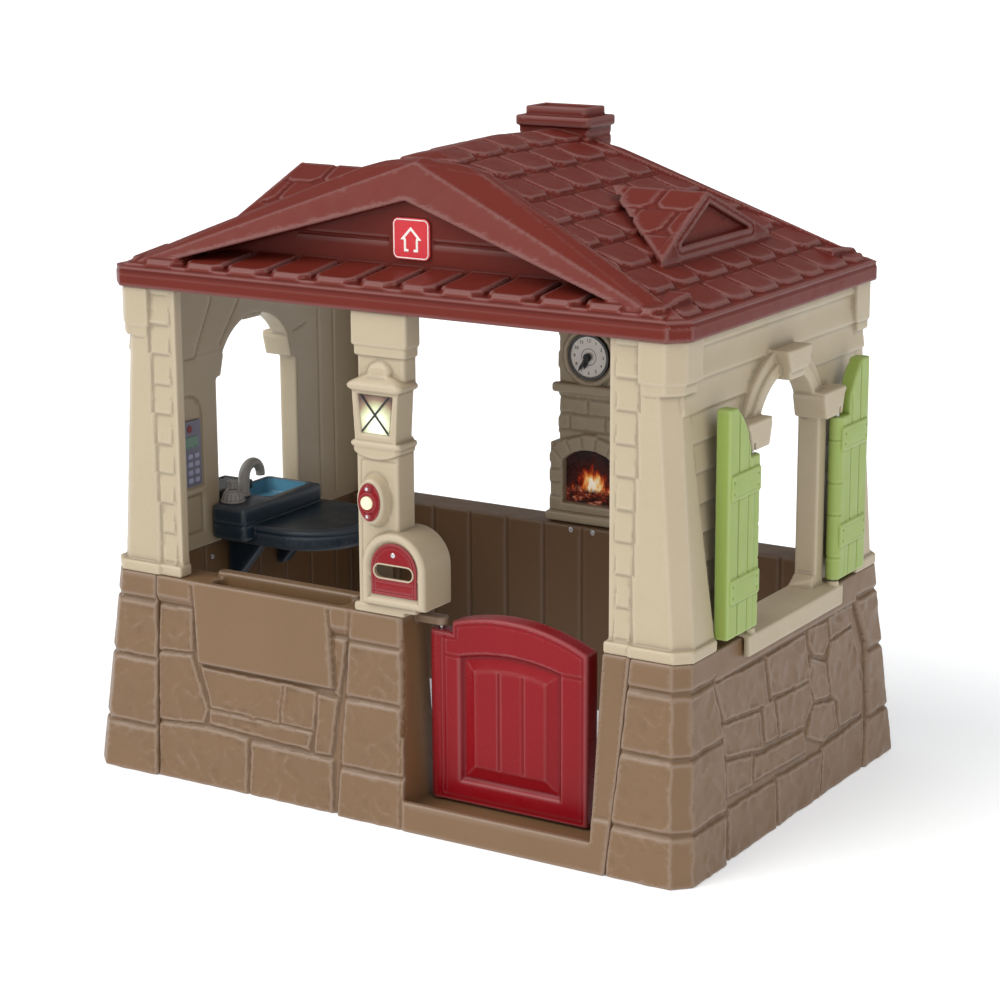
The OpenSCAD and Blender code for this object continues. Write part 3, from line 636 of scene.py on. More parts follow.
def tiles(s, t, pitch, width, seed, top=9.5, gap=7.0, clip=17.0, wander=7.0):
    """Depth below the proudest tile edge for rows of clipped, lapped tiles; s runs down the slope."""
    rng = np.random.default_rng(seed)
    shifts = rng.uniform(-0.14, 0.14, 40)
    joints = rng.uniform(-wander, wander, (40, 60))
    row = np.floor(s / pitch).astype(int)
    f = s / pitch - row
    u = t / width + np.where(row % 2 == 0, 0.5, 0.0) + shifts[row % 40] + 20
    col = np.floor(u).astype(int)
    left = (u - col) * width - joints[row % 40, col % 60]
    right = (col + 1 - u) * width + joints[row % 40, (col + 1) % 60]
    side = np.minimum(np.abs(left), np.abs(right)) - gap / 2
    low = (1 - f) * pitch - 2.0
    inside = either(side, low, bevel(side, low, clip))
    return top - smooth(inside / 4.0 + 0.25) * (2.2 + (top - 2.2) * f)


DORMER = [(459, -207, 1010), (459, 207, 1010), (459, -207, 1025), (459, 207, 1025),
          (438, 0, 1119), (232, 0, 1119)]
EAVE_TILES = (-560, -529, -433, -340, -242, -147, -49, 34, 116, 212, 312, 403, 500, 560)


def eave_row(x, ay):
    """Height of the row of tiles on the shelf in front of each gable."""
    inside = None
    depth = 392 - ay
    for a, b in zip(EAVE_TILES, EAVE_TILES[1:]):
        side = np.minimum(x - a, b - x) - 4.5
        lip = both(-side, -depth, -bevel(side, depth, 17))
        inside = -lip if inside is None else np.maximum(inside, -lip)
    top = 976 + 12.5 * np.clip(depth / 110, 0, 1)
    return 967 + (top - 967) * smooth(inside / 5.0 + 0.35)


def roof():
    v, x, y, z = volume((-604, -398, EAVE), (604, 398, 1226), 2.3)
    ax, ay = np.abs(x), np.abs(y)
    edge_y = lerp(ax, [(0, 268), (130, 246), (600, 394)])
    band = edge_y - ay
    laid = tiles(ax + 8.0, y, 74.5, 95, 5)
    cover = np.where(band > 34, laid, np.where(band > 27, 8.0 * dent(band - 31, 5), 0.0))
    cover = np.where(band < 0, 0.0, cover)
    cover = cover * smooth((598 - ax) / 6)
    d = inside_planes(v, slope_hull(0, 958, 394, 600)) + 0.92 * cover
    d = both(d, 950 - z)
    dormers = either(*[inside_planes(v, hull([(s * px, py, pz) for px, py, pz in DORMER])) for s in (1, -1)])
    shingle = tiles(ay + 6.0, ax + 10.0, 70, 84, 9, top=4.0)
    shingle = np.where(ax > 436, 0.0, shingle)
    dorm = dormers + 0.9 * shingle
    face = poly(y, z, [(-134, 1038), (134, 1038), (0, 1097)])
    lean = 459 - (z - 1025) * 0.223
    dorm = cut(dorm, both(face, lean - 13 - ax))
    dorm = cut(dorm, both(np.abs(face - 11) - 1.8, lean - 3 - ax))
    d = either(d, dorm)
    del dorm, dormers
    gable = poly(x, z, [(-530, 957), (530, 957), (430, 985), (0, 1107), (-430, 985)])
    line = np.maximum(np.abs(z - 1033), span(ax, 50, 243))
    floor_y = 282 - 4.0 * dent(line, 5)
    d = cut(d, both(gable, floor_y - ay))
    row = both(z - eave_row(x, ay), span(ay, 276, 393), ax - 560, 950 - z)
    d = either(d, row)
    rim = both(ax - 603, ay - 397, bevel(ax, ay, 967))
    lip = both(rim, span(z, EAVE, 959.5))
    lip = both(lip, rim + 3.0 * dent(z - 953, 4))
    d = either(d, lip)
    brick = 2.0 * dent(near(z, (1150, 1172)), 4)
    shaft = both(span(x, -76, 76), span(y, 208, 298)) + brick
    stack = both(shaft, span(z, 1080, 1192))
    stack = either(stack, both(rect(x, y, (-82, 202), (82, 304), 6), span(z, 1189, 1208)),
                   both(rect(x, y, (-67, 215), (67, 291), 6), span(z, 1200, 1225)))
    stack = cut(stack, both(rect(x, y, (-56, 226), (56, 280), 5), 1221 - z))
    d = either(d, stack)
    d = cut(d, both(rim + 30, span(z, 900, 948)))
    under = both(inside_planes(v, slope_hull(19, 955, 268, 540)), 950 - z)
    d = cut(d, under)
    shape("roof_tiled", v, d, MAROON, ["roof"], adapt=0.008)


upper_wall("upper_wall_right_siding", "upper_wall_right", 1, 1, True, 0.0)
upper_wall("upper_wall_left_siding", "upper_wall_left", -1, 1, False, 1.0)
roof()


# ---------------------------------------------------------------- front post


def rounded(a, b, r):
    """Both of two fields, with the edge where they meet rounded."""
    return np.hypot(np.maximum(a + r, 0), np.maximum(b + r, 0)) + np.minimum(np.maximum(a, b) + r, 0) - r


def arch(x, z, cx, cz, r, z0):
    return either(disc(x, z, cx, cz, r), both(np.abs(x - cx) - r, z0 - z, z - cz))


def pill(x, z, cx, cz, half, r):
    return np.hypot(np.maximum(np.abs(x - cx) - half + r, 0), z - cz) - r


POST = -3.0
BACK = -347.0
BELL = (-5, 590)
MAILBOX = (36, 469)
SLOT = (36, 464.5)
WINDOW = [(-31.3, 708.7), (25.3, 708.7), (33.3, 777.3), (-39.3, 777.3)]


def lantern_post():
    v, x, y, z = volume((-62, -417, TOP), (103, -317, EAVE), 1.5)

    def part(half, front, z0, z1, r=5.0, corner=6.0):
        return rounded(rect(x, y, (POST - half, front), (POST + half, BACK + 8), corner), span(z, z0, z1), r)

    shaft = part(44, -395, 384, 700, 2)
    panel = rect(x, z, (POST - 33, 300), (POST + 60, 660), 6)
    shaft = cut(shaft, both(np.abs(panel) - 1.6, y + 392.6))
    body = POST + 43 + (z - 689) * 6 / 97
    lamp = rounded(both(np.abs(x - POST) - (body - POST), -400 - y, y - BACK), span(z, 689, 790), 4)
    height = z[0, 0]
    hood_half = lerp(height, [(783, 48), (787, 56), (791, 59), (795, 58.5), (799, 54), (804, 44), (809, 33),
                              (812, 26), (820, 24.5), (827, 21), (832, 15), (836, 7), (838, -4)])
    hood_front = lerp(height, [(783, -402), (788, -406), (795, -406), (800, -402), (808, -393), (814, -390),
                               (826, -388), (833, -383), (838, -376)])
    hood_half, hood_front = hood_half[None, None, :], hood_front[None, None, :]
    hood = both(rounded(np.abs(x - POST) - hood_half, hood_front - y, 10), span(z, 784, 838), y - BACK)
    boss = oval(x, z, *BELL, 33.5, 48.5) + np.maximum(0, -395 - y) * 0.28
    boss = rounded(boss, both(-417 - y, y + 380), 4)
    box_arch = arch(x, z, *MAILBOX, 67, 400)
    mail = rounded(box_arch, both(-410 - y, y + 317), 8)
    belly = both(part(50, -401, 658, 692, 6, 12), disc(x, z, POST, 764, 101))
    bowl = either(belly, part(53, -403, 683.5, 694, 4, 9))
    foot = part(54, -397, 380, 397, 4)
    shelf = rounded(rect(x, y, (-4, -397), (76, -319), 6), span(z, 389, 404), 3)
    d = either(foot, shaft, bowl, lamp, hood, part(50, -379, 790, 844, 2),
               part(55, -384, 843, 862, 3), part(59, -387, 861, 923, 3), boss, mail, shelf)
    d = both(d, -x - 62, 380 - z, z - EAVE)
    inner = both(arch(x, z, *MAILBOX, 59, 408), span(y, -396, -300))
    front = both(arch(x, z, *MAILBOX, 48.2, 419.8), y + 402)
    bevel = both(box_arch + 18 - np.maximum(0, -402 - y) * 0.8, y + 402.5)
    slot_hole = both(pill(x, z, *SLOT, 41, 12.5), y + 380)
    cavity = both(span(x, POST - 28, POST + 28), span(y, -391.5, -330), span(z, 561, 619))
    bore = both(disc(x, z, *BELL, 15.8), y + 385)
    pane = both(poly(x, z, WINDOW), y + 395)
    frame_line = both(poly(x, z, WINDOW) + 396.5 + y, y + 397)
    d = cut(d, either(inner, front, bevel, slot_hole, cavity, bore, pane, frame_line))
    shape("lantern_post_moulded", v, d, CREAM, ["lantern_post"], soft=2, adapt=0.004)


def mail_plate():
    v, x, y, z = volume((-12, -406, 420), (84, -402, 517), 0.7)
    plate = arch(x, z, *MAILBOX, 48, 420)
    relief = 1.1 * dent(plate + 6, 2.2) + 0.9 * dent(np.maximum(np.abs(z - 446), np.abs(x - 36) - 38), 1.6)
    relief = relief + 0.7 * dent(both(disc(x, z, 36, 473, 36), 466 - z), 1.4) + 0.7 * smooth((444 - z) / 2)
    d = both(rounded(plate, -406 - y, 1.2), -406 - y + relief, y + 402)
    d = cut(d, pill(x, z, *SLOT, 40, 11.5))
    shape("mail_plate_moulded", v, d, RED, ["mail_plate"])
    v, x, y, z = volume((-8, -408, 449), (80, -402, 480), 0.7)
    ring = pill(x, z, *SLOT, 43, 14.5)
    d = rounded(cut(ring, pill(x, z, *SLOT, 40, 11.5)), span(y, -407.6, -403), 1.2)
    shape("mail_slot_rim", v, d, CREAM, [])


def doorbell():
    v, x, y, z = volume((-28, -425, 555), (18, -417, 625), 0.6)
    o = oval(x, z, *BELL, 23, 34.5)
    r = disc(x, z, *BELL, 0)
    top = -418.5 - 3.6 * np.sqrt(np.clip(-o / 23, 0, 1))
    ring = -424.8 + np.clip((r - 17) * 0.9, 0, 8) + np.clip((13 - r) * 0.5, 0, 3)
    ears = np.minimum(disc(x, z, -5, 565, 5.5), disc(x, z, -5, 615, 5.5))
    ears = -424.9 + np.clip(ears * 1.2, 0, 8)
    front = np.minimum(np.minimum(top, ring), ears)
    d = both(o, (front - y) * 0.8, y + 417)
    d = cut(d, disc(x, z, *BELL, 12.3))
    shape("doorbell_bezel_moulded", v, d, RED, ["doorbell_bezel"])
    v, x, y, z = volume((-20, -430, 575), (10, -414, 605), 0.5)
    r = disc(x, z, *BELL, 0)
    dome = both(r - 12, -430 + 2.6 * (r / 12) ** 2 - y, y + 414)
    dome = rounded(dome, both(r - 12, y + 414), 0.5)
    d = either(both(dome, r - 12), both(r - 14.5, span(y, -416.8, -414)))
    d = both(d, (-430 + 2.6 * (r / 12) ** 2 + 0.8 * dent(r - 8.6, 0.9)) - y)
    shape("doorbell_button_domed", v, d, BUTTON, ["doorbell_button"], body="bell_button")


def sound_module():
    v, x, y, z = volume((-31, -398, 561), (25, -351, 619), 1.0)
    case = rounded(rect(x, z, (-30.5, 561.5), (24.5, 618.5), 3), span(y, -391, -351), 1.5)
    seat = rounded(disc(x, z, *BELL, 14), span(y, -398, -385), 1)
    holes = both(disc((x + 3) % 8 - 4, (z - 590) % 8 - 4, 0, 0, 1.6), disc(x, z, POST, 590, 24), y + 389)
    d = either(cut(case, holes), seat)
    shape("doorbell_module_case", v, d, MODULE, ["doorbell_module"])


def spring():
    """Coil of round wire between the button and its seat."""
    turns, steps, sides, wire, coil = 5, 28, 10, 0.68, 9.0
    verts, faces = [], []
    for i in range(turns * steps + 1):
        a = 2 * math.pi * i / steps
        y = -413.3 + 14.6 * smooth(np.array(i / (turns * steps))) * 0.35 + 14.6 * 0.65 * i / (turns * steps)
        for k in range(sides):
            b = 2 * math.pi * k / sides
            r = coil + wire * math.cos(b)
            verts.append((-5 + r * math.cos(a), float(y) + wire * math.sin(b), 590 + r * math.sin(a)))
    for i in range(turns * steps):
        for k in range(sides):
            m, n = i * sides, (k + 1) % sides
            faces.append([m + k, m + n, m + sides + n, m + sides + k])
    faces.append(list(range(sides))[::-1])
    faces.append([turns * steps * sides + k for k in range(sides)])
    ob = mesh_object("doorbell_spring_coil", verts, faces)
    ob.data.materials.append(SPRING)
    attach(ob, HOUSE)
    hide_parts("doorbell_spring")
    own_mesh(ob)


def screw(name, node, place, axis, sign, r, h):
    """Domed screw head with a cross recess, its foot at place."""
    low, high = [c - r for c in place], [c + r for c in place]
    low[axis], high[axis] = sorted((place[axis], place[axis] + sign * h))
    v = Vol(low, high, r / 11)
    c = (v.x, v.y, v.z)
    a, b = [c[i] - place[i] for i in range(3) if i != axis]
    t = (c[axis] - place[axis]) * sign
    rr = np.hypot(a, b)
    d = both(rr - r, t - h * (1 - 0.75 * (rr / r) ** 3), -t)
    cross = both(np.minimum(np.abs(a), np.abs(b)) - 0.13 * r, np.maximum(np.abs(a), np.abs(b)) - 0.58 * r,
                 0.42 * h - t)
    shape(name, v, cut(d, cross), STEEL, [node], adapt=0.001)


def screws():
    for i, s in enumerate((-1, 1)):
        screw(f"hearth_screw_{i}", "hearth_screws", [25 * s, 320, 372], 1, -1, 6, 3)
        screw(f"bezel_screw_{i}", "doorbell_screws", [-5, -425, 590 + 25 * s], 1, -1, 3.4, 1.6)
        for k, y in enumerate((-152, 152)):
            screw(f"wall_screw_{i}{k}", "wall_screws", [565 * s, y, 352], 0, -s, 6, 3)
    screw("battery_door_screw", "doorbell_screws", [POST, -348.5, 612], 1, 1, 2.5, 1.5)
    screw("mail_plate_screw_domed", "mail_plate_screw", [36, -406, 496], 1, -1, 5, 2.5)


# ---------------------------------------------------------------- door and shutters


def door():
    v, x, y, z = volume((76, -362, 42), (405, -322, 395), 1.5)
    outline = both(disc(x, z, 240.5, 20, 375), 42 - z, x - 405, 96 - x)
    outline = cut(outline, both(x - 128, 357 - z))
    panel = both(span(x, 146, 350), 86 - z, disc(x, z, 248, -46, 375))
    depth = np.interp(-panel, [-3, 0, 3, 6, 25, 29, 33], [0, 5.0, 8.0, 8.2, 2.6, 0.5, 0.0])
    field = panel + 31
    lines = both(near(x, (225.5, 275)), field)
    depth = depth + np.where(field < 0, 2.4 * dent(lines, 3.2), 0)
    rail = either(both(np.abs(z - 315), span(x, 112, 144)), both(np.abs(z - 315), span(x, 352, 394)),
                  both(np.abs(x - 112), span(z, 60, 350)))
    depth = depth + np.where(panel > 2, 1.8 * dent(rail, 3.0), 0) + 1.6 * dent(outline + 9, 3.0) * (panel > 5)
    half = np.abs(y + 342)
    d = both(rounded(outline, half - 20, 6), half - 20 + depth)
    d = either(d, rounded(disc(x, y, *DOOR_HINGE, 20), span(z, 42, 357), 3))
    d = cut(d, both(disc(x, y, *DOOR_HINGE, 5.2), either(z - 62, 337 - z)))
    shape("door_panelled", v, d, RED, ["door"], body="door_leaf", soft=2, adapt=0.004)


def shutter(name, node, body, sy):
    v, x, y, z = volume((603, 158, 398), (634, 280, 798), 1.4)
    low = both(span(y, 172, 280), span(z, 398, 703))
    high = both(span(y, 200, 280), span(z, 690, 798), disc(y, z, 328, 690, 131))
    outline = either(low, high)
    seams = near(y, (208, 245))
    depth = 2.6 * dent(seams, 3.4) + 1.2 * dent(y - 188, 2.2) * (z < 700)
    d = both(rounded(outline, span(x, 603, 631), 3), span(x, 603, 631) + depth)
    for z0 in (459, 640):
        batten = rounded(rect(y, z, (166, z0), (274, z0 + 44), 5), span(x, 618, 634), 2.2)
        batten = both(batten, (x - 634) + 1.0 * dent(rect(y, z, (166, z0), (274, z0 + 44), 5) + 6, 2.0))
        bolts = [disc(y, z, cy, z0 + cz, 2.4) for cy in (178, 266) for cz in (12, 32)]
        batten = cut(batten, both(either(*bolts), 631.0 - x))
        d = either(d, batten)
    barrel = rounded(disc(x, y, *SHUTTER_HINGE, 14), span(z, 398, 703), 2)
    rings = near(z, (440, 520, 580, 660))
    barrel = both(barrel, disc(x, y, *SHUTTER_HINGE, 14) + 1.8 * dent(rings, 2.6))
    d = either(d, both(barrel, y - 190))
    d = cut(d, both(disc(x, y, *SHUTTER_HINGE, 4.4), either(z - 415, 686 - z)))
    shape(name, v, d, GREEN, [node], body=body, soft=2, turn=(1, sy), adapt=0.004)


# ---------------------------------------------------------------- fireplace and clock

CLOCK_Z, FIRE_Z = 722, 445

def fireplace():
    v, x, y, z = volume((-92, 330, TOP), (92, 396, EAVE), 1.7)
    ax = np.abs(x)
    wave = 1.4 * noise(x, z, 22, 81)
    rows = (540, 569, 602, 635, 664, 800, 832, 864, 896)
    lines = near(z, rows)
    joints = either(both(np.abs(x + 6), span(z, 602, 635)),
                    both(near(x, (-46.5, 34)), span(z, 569, 602)),
                    both(near(x, (-40, 38)), span(z, 800, 832)),
                    both(np.abs(x - 4), span(z, 832, 864)),
                    both(near(x, (-44, 30)), span(z, 864, 896)))
    depth = 3.4 * dent(either(lines, joints) - 0.6, 4.5) + 0.9 * chips(x, z, 82, 22)
    side = 75 - np.where((z % 66) < 33, 3.5, 0.0)
    side = np.where(span(z, 602, 635) < 0, 71.5, side)
    upper = both(rounded(ax - side, 350 - y, 5), 350 - y + depth, y - 396, span(z, 530, EAVE))
    r = disc(x, z, 0, FIRE_Z, 0)
    turn = np.degrees(np.arctan2(x, z - FIRE_Z))
    step = (turn + 9) / 18.0
    stone = np.abs(step - np.floor(step) - 0.5)
    radial = np.maximum(0.5 - stone, 0) * 18 * math.pi / 180 * r
    outer = 119 - 3 * (np.floor(step) % 2)
    legs = near(z, (430, 458, 486))
    ring = np.where(z > 500, r - outer, ax - 92 + np.where((z > 430) & (z < 458), 3, 0)
                    + np.where(z > 486, 3, 0))
    ring = both(ring, span(z, 401, 566), ax - 92)
    groove = np.where(z > 505, radial, legs)
    lower = both(rounded(ring, 344.5 - y, 5), 344.5 - y + 3.2 * dent(groove - 0.5, 4.5) + wave * 0.5, y - 396)
    backing = both(ax - 92, y - 396, 351 - y, span(z, TOP, 540))
    hearth = rounded(both(ax - 92, 330 - y, y - 356), span(z, 382, 402), 5)
    shelf = rounded(both(ax - 82, 340 - y, y - 356), span(z, 645, 665), 5)
    bezel = disc(x, z, 0, CLOCK_Z, 54)
    rim = both(np.abs(bezel) - 6.5, 344 + 0.14 * bezel ** 2 - y, y - 356)
    d = either(upper, lower, backing, hearth, shelf, rim)
    hollow = both(span(x, -60, 60), span(z, 418, 531), disc(x, z, 0, FIRE_Z, 86))
    d = cut(d, both(hollow, y - 363.6))
    lip = both(np.abs(hollow - 4.5) - 0.9, y - 346.3)
    d = cut(d, lip)
    brace = either(np.abs(ax - 40), np.abs(z - 640))
    d = both(d, y - 396 + 3.0 * dent(brace, 5))
    shape("fireplace_brickwork", v, d, CREAM, ["fireplace_panel"], soft=2, adapt=0.004)


def numerals():
    verts, faces = [], []
    for hour in range(1, 13):
        curve = bpy.data.curves.new(f"hour_{hour}", "FONT")
        curve.body, curve.size, curve.extrude = str(hour), 9.5, 0.4
        curve.align_x, curve.align_y = "CENTER", "CENTER"
        ob = bpy.data.objects.new(f"hour_{hour}", curve)
        mesh = ob.to_mesh()
        a = math.radians(30 * hour)
        cx, cz = 32.5 * math.sin(a), CLOCK_Z + 32.5 * math.cos(a)
        at = len(verts)
        verts += [(cx + p.co.x, 345.9 - p.co.z, cz + p.co.y) for p in mesh.vertices]
        faces += [[at + i for i in f.vertices] for f in mesh.polygons]
        ob.to_mesh_clear()
        bpy.data.objects.remove(ob)
        bpy.data.curves.remove(curve)
    ob = mesh_object("clock_numerals", verts, faces)
    ob.data.materials.append(BLACK[0])
    ob.data.shade_flat()
    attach(ob, HOUSE)


# ---------------------------------------------------------------- kitchen

SPOUT = (-545, -74)
KNOB = (-535, -120)

def kitchen():
    v, x, y, z = volume((-640, -165, 290), (-295, 117, 460), 1.9)
    wall = rounded(rect(x, y, (-555, -165), (-475, 97), 9), span(z, 393, 460), 7)
    sink = rounded(either(rect(x, y, (-612, -128), (-490, 97), 9), rect(x, y, (-640, -128), (-560, -6), 7)),
                   span(z, 400, 460), 7)
    join = both(span(x, -612, -490), span(y, -128, 97), span(z, 397, 440))
    d = either(wall, sink, join)
    basin_plan = rect(x, y, (-604, -53), (-500, 89), 18)
    basin = both(basin_plan + np.maximum(0, 452 - z) * 0.12, 429 - z)
    d = cut(d, basin)
    rim = both(np.abs(rect(x, y, (-610, -59), (-481, 95), 20)) - 1.5, 457.8 - z)
    d = cut(d, rim)
    drain = both(np.abs(disc(x, y, -552, 30, 12)) - 1.4, 427.5 - z)
    d = cut(d, both(drain, z - 432))
    skirt = both(np.abs(z - 425), np.abs(rect(x, y, (-620, -165), (-475, 97), 9)) - 3)
    d = cut(d, np.maximum(skirt - 1.4, -1))
    plan = either(disc(x, y, -420, -8, 125), rect(x, y, (-570, -133), (-420, 117), 8))
    table = rounded(plan, span(z, 380, 422), 8)
    table = cut(table, both(np.abs(plan + 2.0) - 2.6, np.abs(z - 409.5) - 1.2))
    table = cut(table, both(np.abs(plan + 14) - 1.3, 420.6 - z))
    table = cut(table, both(plan + 9, 12 - np.abs(y + 8) % 61.0, z - 400))
    arms = None
    for y0 in (-103, 57):
        arm = both(poly(x, z, [(-564, 290), (-550, 290), (-468, 390), (-564, 390)]), span(y, y0, y0 + 30))
        arms = arm if arms is None else either(arms, arm)
    d = either(d, table, arms)
    d = cut(d, both(disc(x, y, *SPOUT, 9.6), 447 - z))
    shape("kitchen_moulded", v, d, NAVY, ["kitchen_unit"], soft=2, adapt=0.004)


def griddle():
    v, x, y, z = volume((-639, -127, 460), (-566, -10, 478), 1.1)
    plan = rect(x, y, (-639, -127), (-566, -10), 7)
    tray = rounded(plan, span(z, 460, 478), 2.5)
    tray = cut(tray, both(plan + 6, 468 - z))
    bars = rounded(both(np.abs((y + 68.5) % 13.4 - 6.7) - 3.1, plan + 4), span(z, 462, 476.5), 2)
    shape("griddle_bars", v, either(tray, bars), BLACK, ["griddle"], adapt=0.003)


def tap():
    v, x, y, z = volume((-560, -145, 460), (-510, -95, 498), 0.8)
    r, a = disc(x, y, *KNOB, 0), np.arctan2(y + 120, x + 535)
    size = lerp(z[0, 0], [(460, 25), (463, 25), (465, 23), (471, 21.5), (478, 18), (483, 14), (485, 13)])
    ribs = 1.5 * (0.5 - 0.5 * np.cos(14 * a)) * (smooth((z - 463.5) / 2) - smooth((z - 474) / 5))
    d = either(both(r - size[None, None, :] + ribs, span(z, 460, 485)), both(r - 4, span(z, 470, 498)))
    d = cut(d, disc(x, y, *SPOUT, 20.6))
    shape("tap_base_ribbed", v, d, GREY, ["faucet_base"])
    v, x, y, z = volume((-545, -130, 485), (-525, -110, 503), 0.45)
    r, a = disc(x, y, *KNOB, 0), np.arctan2(y + 120, x + 535)
    lobes = 1.7 * (0.5 - 0.5 * np.cos(6 * a)) * smooth((500 - z) / 3)
    d = both(rounded(r - 10 + lobes, span(z, 485.3, 503), 2.4), z - 503 + 0.8 * smooth((7 - r) / 1.4))
    d = cut(d, both(r - 4.2, z - 499))
    shape("tap_knob_lobed", v, d, GREY, ["faucet_knob"], body="tap_knob")
    v, x, y, z = volume((-560, -89, 450), (-530, -7.4, 531), 0.8)
    path = [(-74 + i, 464 + 7.5 * i, 12.6 - 0.3 * i) for i in range(4)]
    for i in range(15):
        t = math.radians(i * 12.9)
        path.append((-70 + 27 * (1 - math.cos(t)), 494 + 27 * math.sin(t), 11.4 - 0.16 * i))
    d = None
    for (ay, az, ar), (by, bz, br) in zip(path, path[1:]):
        ey, ez = by - ay, bz - az
        t = np.clip(((y - ay) * ey + (z - az) * ez) / (ey * ey + ez * ez), 0, 1)
        tube = np.sqrt((x + 545) ** 2 + (y - ay - t * ey) ** 2 + (z - az - t * ez) ** 2) - ar - t * (br - ar)
        d = tube if d is None else either(d, tube)
    d = either(d, both(disc(x, y, -545, -16.4, 9), span(z, 491, 500)))
    d = cut(d, both(-30 - y, z - 490.5))
    d = cut(d, both(disc(x, y, -545, -16.4, 6), z - 497))
    foot = rounded(disc(x, y, *SPOUT, 15), span(z, 460.3, 466.5), 2)
    d = either(d, foot, both(disc(x, y, *SPOUT, 9), span(z, 450, 464)))
    d = either(both(d, 460.3 - z), both(disc(x, y, *SPOUT, 9), span(z, 450, 464)))
    shape("tap_spout_gooseneck", v, d, GREY, ["faucet_spout"], body="tap_spout")


def phone():
    v, x, y, z = volume((-558, -257, 507), (-555, -187, 637), 0.7)
    plan = rect(y, z, (-257, 507), (-187, 637), 6)
    d = both(rounded(plan, span(x, -558, -556.2), 0.6), x + 556.2 + 0.6 * dent(plan + 3, 0.9))
    shape("phone_plate", v, d, PHONE, ["phone_panel"])
    keys = [rect(y, z, (-249 + 20 * i, 514 + 16 * k), (-249 + 20 * i + 14, 514 + 16 * k + 10.5), 3)
            for i in range(3) for k in range(4)]
    screen, call = rect(y, z, (-247, 584), (-197, 606), 4), disc(y, z, -222, 621, 7.5)
    for name, fields, paint in (("phone_keys", keys, KEYS), ("phone_screen", [screen], SCREEN),
                                ("phone_call_button", [call], (RED[0], "phone_print"))):
        d = rounded(either(*fields), span(x, -557, -555), 0.7)
        shape(name, v, d, paint, [])


def badge():
    v, x, y, z = volume((-36, -288, 1001), (42, -282, 1075), 0.7)
    plan = rect(x, z, (-36, 1001), (42, 1075), 12)
    d = rounded(plan, span(y, -287.2, -282), 1.4)
    shape("gable_badge_plate", v, d, BADGE, ["gable_badge"])
    house = poly(x, z, [(-20, 1036), (3, 1060), (26, 1036), (18, 1036), (18, 1015), (-12, 1015), (-12, 1036)])
    way = rect(x, z, (-2, 1010), (8, 1029), 2)
    lines = either(np.abs(plan + 3.2) - 1.2, cut(house, either(house + 5, way)))
    d = both(rounded(lines, span(y, -288, -285), 0.5), plan)
    shape("gable_badge_house", v, d, WHITE, [])


# ---------------------------------------------------------------- more materials


def metal(name, rgb, rough):
    t = Tree(name, rough, Metallic=1.0)
    base = linear(rgb)
    t.colour(t.mix(t.noise(60.0, 3.0), shade(base, 0.82), shade(base, 1.06)))
    t.rough(t.ramp(t.noise(240.0, 3.0, vector=t.scaled((1, 1, 6))), 0.3, 0.7, rough - 0.08, rough + 0.12))
    t.bump(t.noise(500.0, 2.0, vector=t.scaled((1, 1, 8))), 0.15, 0.0004)
    return t.mat


def steps(t, value, stops):
    node = t.add("ShaderNodeValToRGB")
    ramp = node.color_ramp
    while len(ramp.elements) < len(stops):
        ramp.elements.new(0.5)
    for e, (at, rgb) in zip(ramp.elements, stops):
        e.position = at
        e.color = linear(rgb) + [1.0]
    t.feed(node.inputs["Fac"], value)
    return node.outputs["Color"]


def axes(t):
    """The coordinates in the plane of a print on the front."""
    node = t.add("ShaderNodeSeparateXYZ", Vector=t.coords)
    return node.outputs["X"], node.outputs["Z"]


def away(t, a, b, ca, cb):
    """Distance from a point in a plane."""
    da, db = t.math("SUBTRACT", a, ca), t.math("SUBTRACT", b, cb)
    return t.math("SQRT", t.math("ADD", t.math("MULTIPLY", da, da), t.math("MULTIPLY", db, db)))


def lit_print(t, col):
    """A smooth print with a painted glow: it is given emission, though the print is no lamp."""
    t.colour(col)
    t.feed(t.shader.inputs["Emission Color"], col)
    t.rough(t.ramp(t.noise(60.0), 0.3, 0.7, 0.22, 0.36))
    t.bump(t.noise(400.0), 0.06, 0.0004)
    return t.mat


def fire_print():
    # Emission_Strength gives the fire print a painted glow.
    t = Tree("fire_picture", 0.3, Coat_Weight=0.4, Emission_Strength=0.32)
    x, z = axes(t)
    tall = t.noise(1.0, 4.0, vector=t.scaled((46, 1, 17)), rough=0.5, distortion=1.3)
    fine = t.noise(1.0, 5.0, vector=t.scaled((110, 1, 60)), rough=0.6, distortion=0.8)
    middle = t.ramp(away(t, x, z, 0.002, 0.462), 0.0, 0.062, 0.36, -0.25)
    height = t.ramp(z, 0.43, 0.525, 0.16, -0.3)
    heat = t.math("ADD", t.math("MULTIPLY", t.math("ADD", tall, t.math("MULTIPLY", fine, 0.35)), 0.85),
                  t.math("ADD", middle, height))
    flames = steps(t, heat, [(0.0, (24, 6, 5)), (0.5, (58, 14, 8)), (0.62, (150, 40, 12)),
                             (0.71, (222, 122, 52)), (0.8, (248, 204, 130)), (0.92, (255, 244, 224))])
    wood = t.noise(1.0, 5.0, vector=t.scaled((35, 1, 95), (0, 0.5, 0)), rough=0.6, distortion=1.0)
    logs = steps(t, wood, [(0.0, (18, 9, 8)), (0.45, (40, 20, 16)), (0.56, (120, 40, 22)),
                           (0.62, (214, 150, 120)), (0.7, (50, 26, 22)), (1.0, (24, 12, 10))])
    low = t.ramp(t.math("ADD", z, t.math("MULTIPLY", fine, 0.02)), 0.452, 0.462, 1.0, 0.0)
    col = t.mix(low, flames, logs)
    return lit_print(t, col)


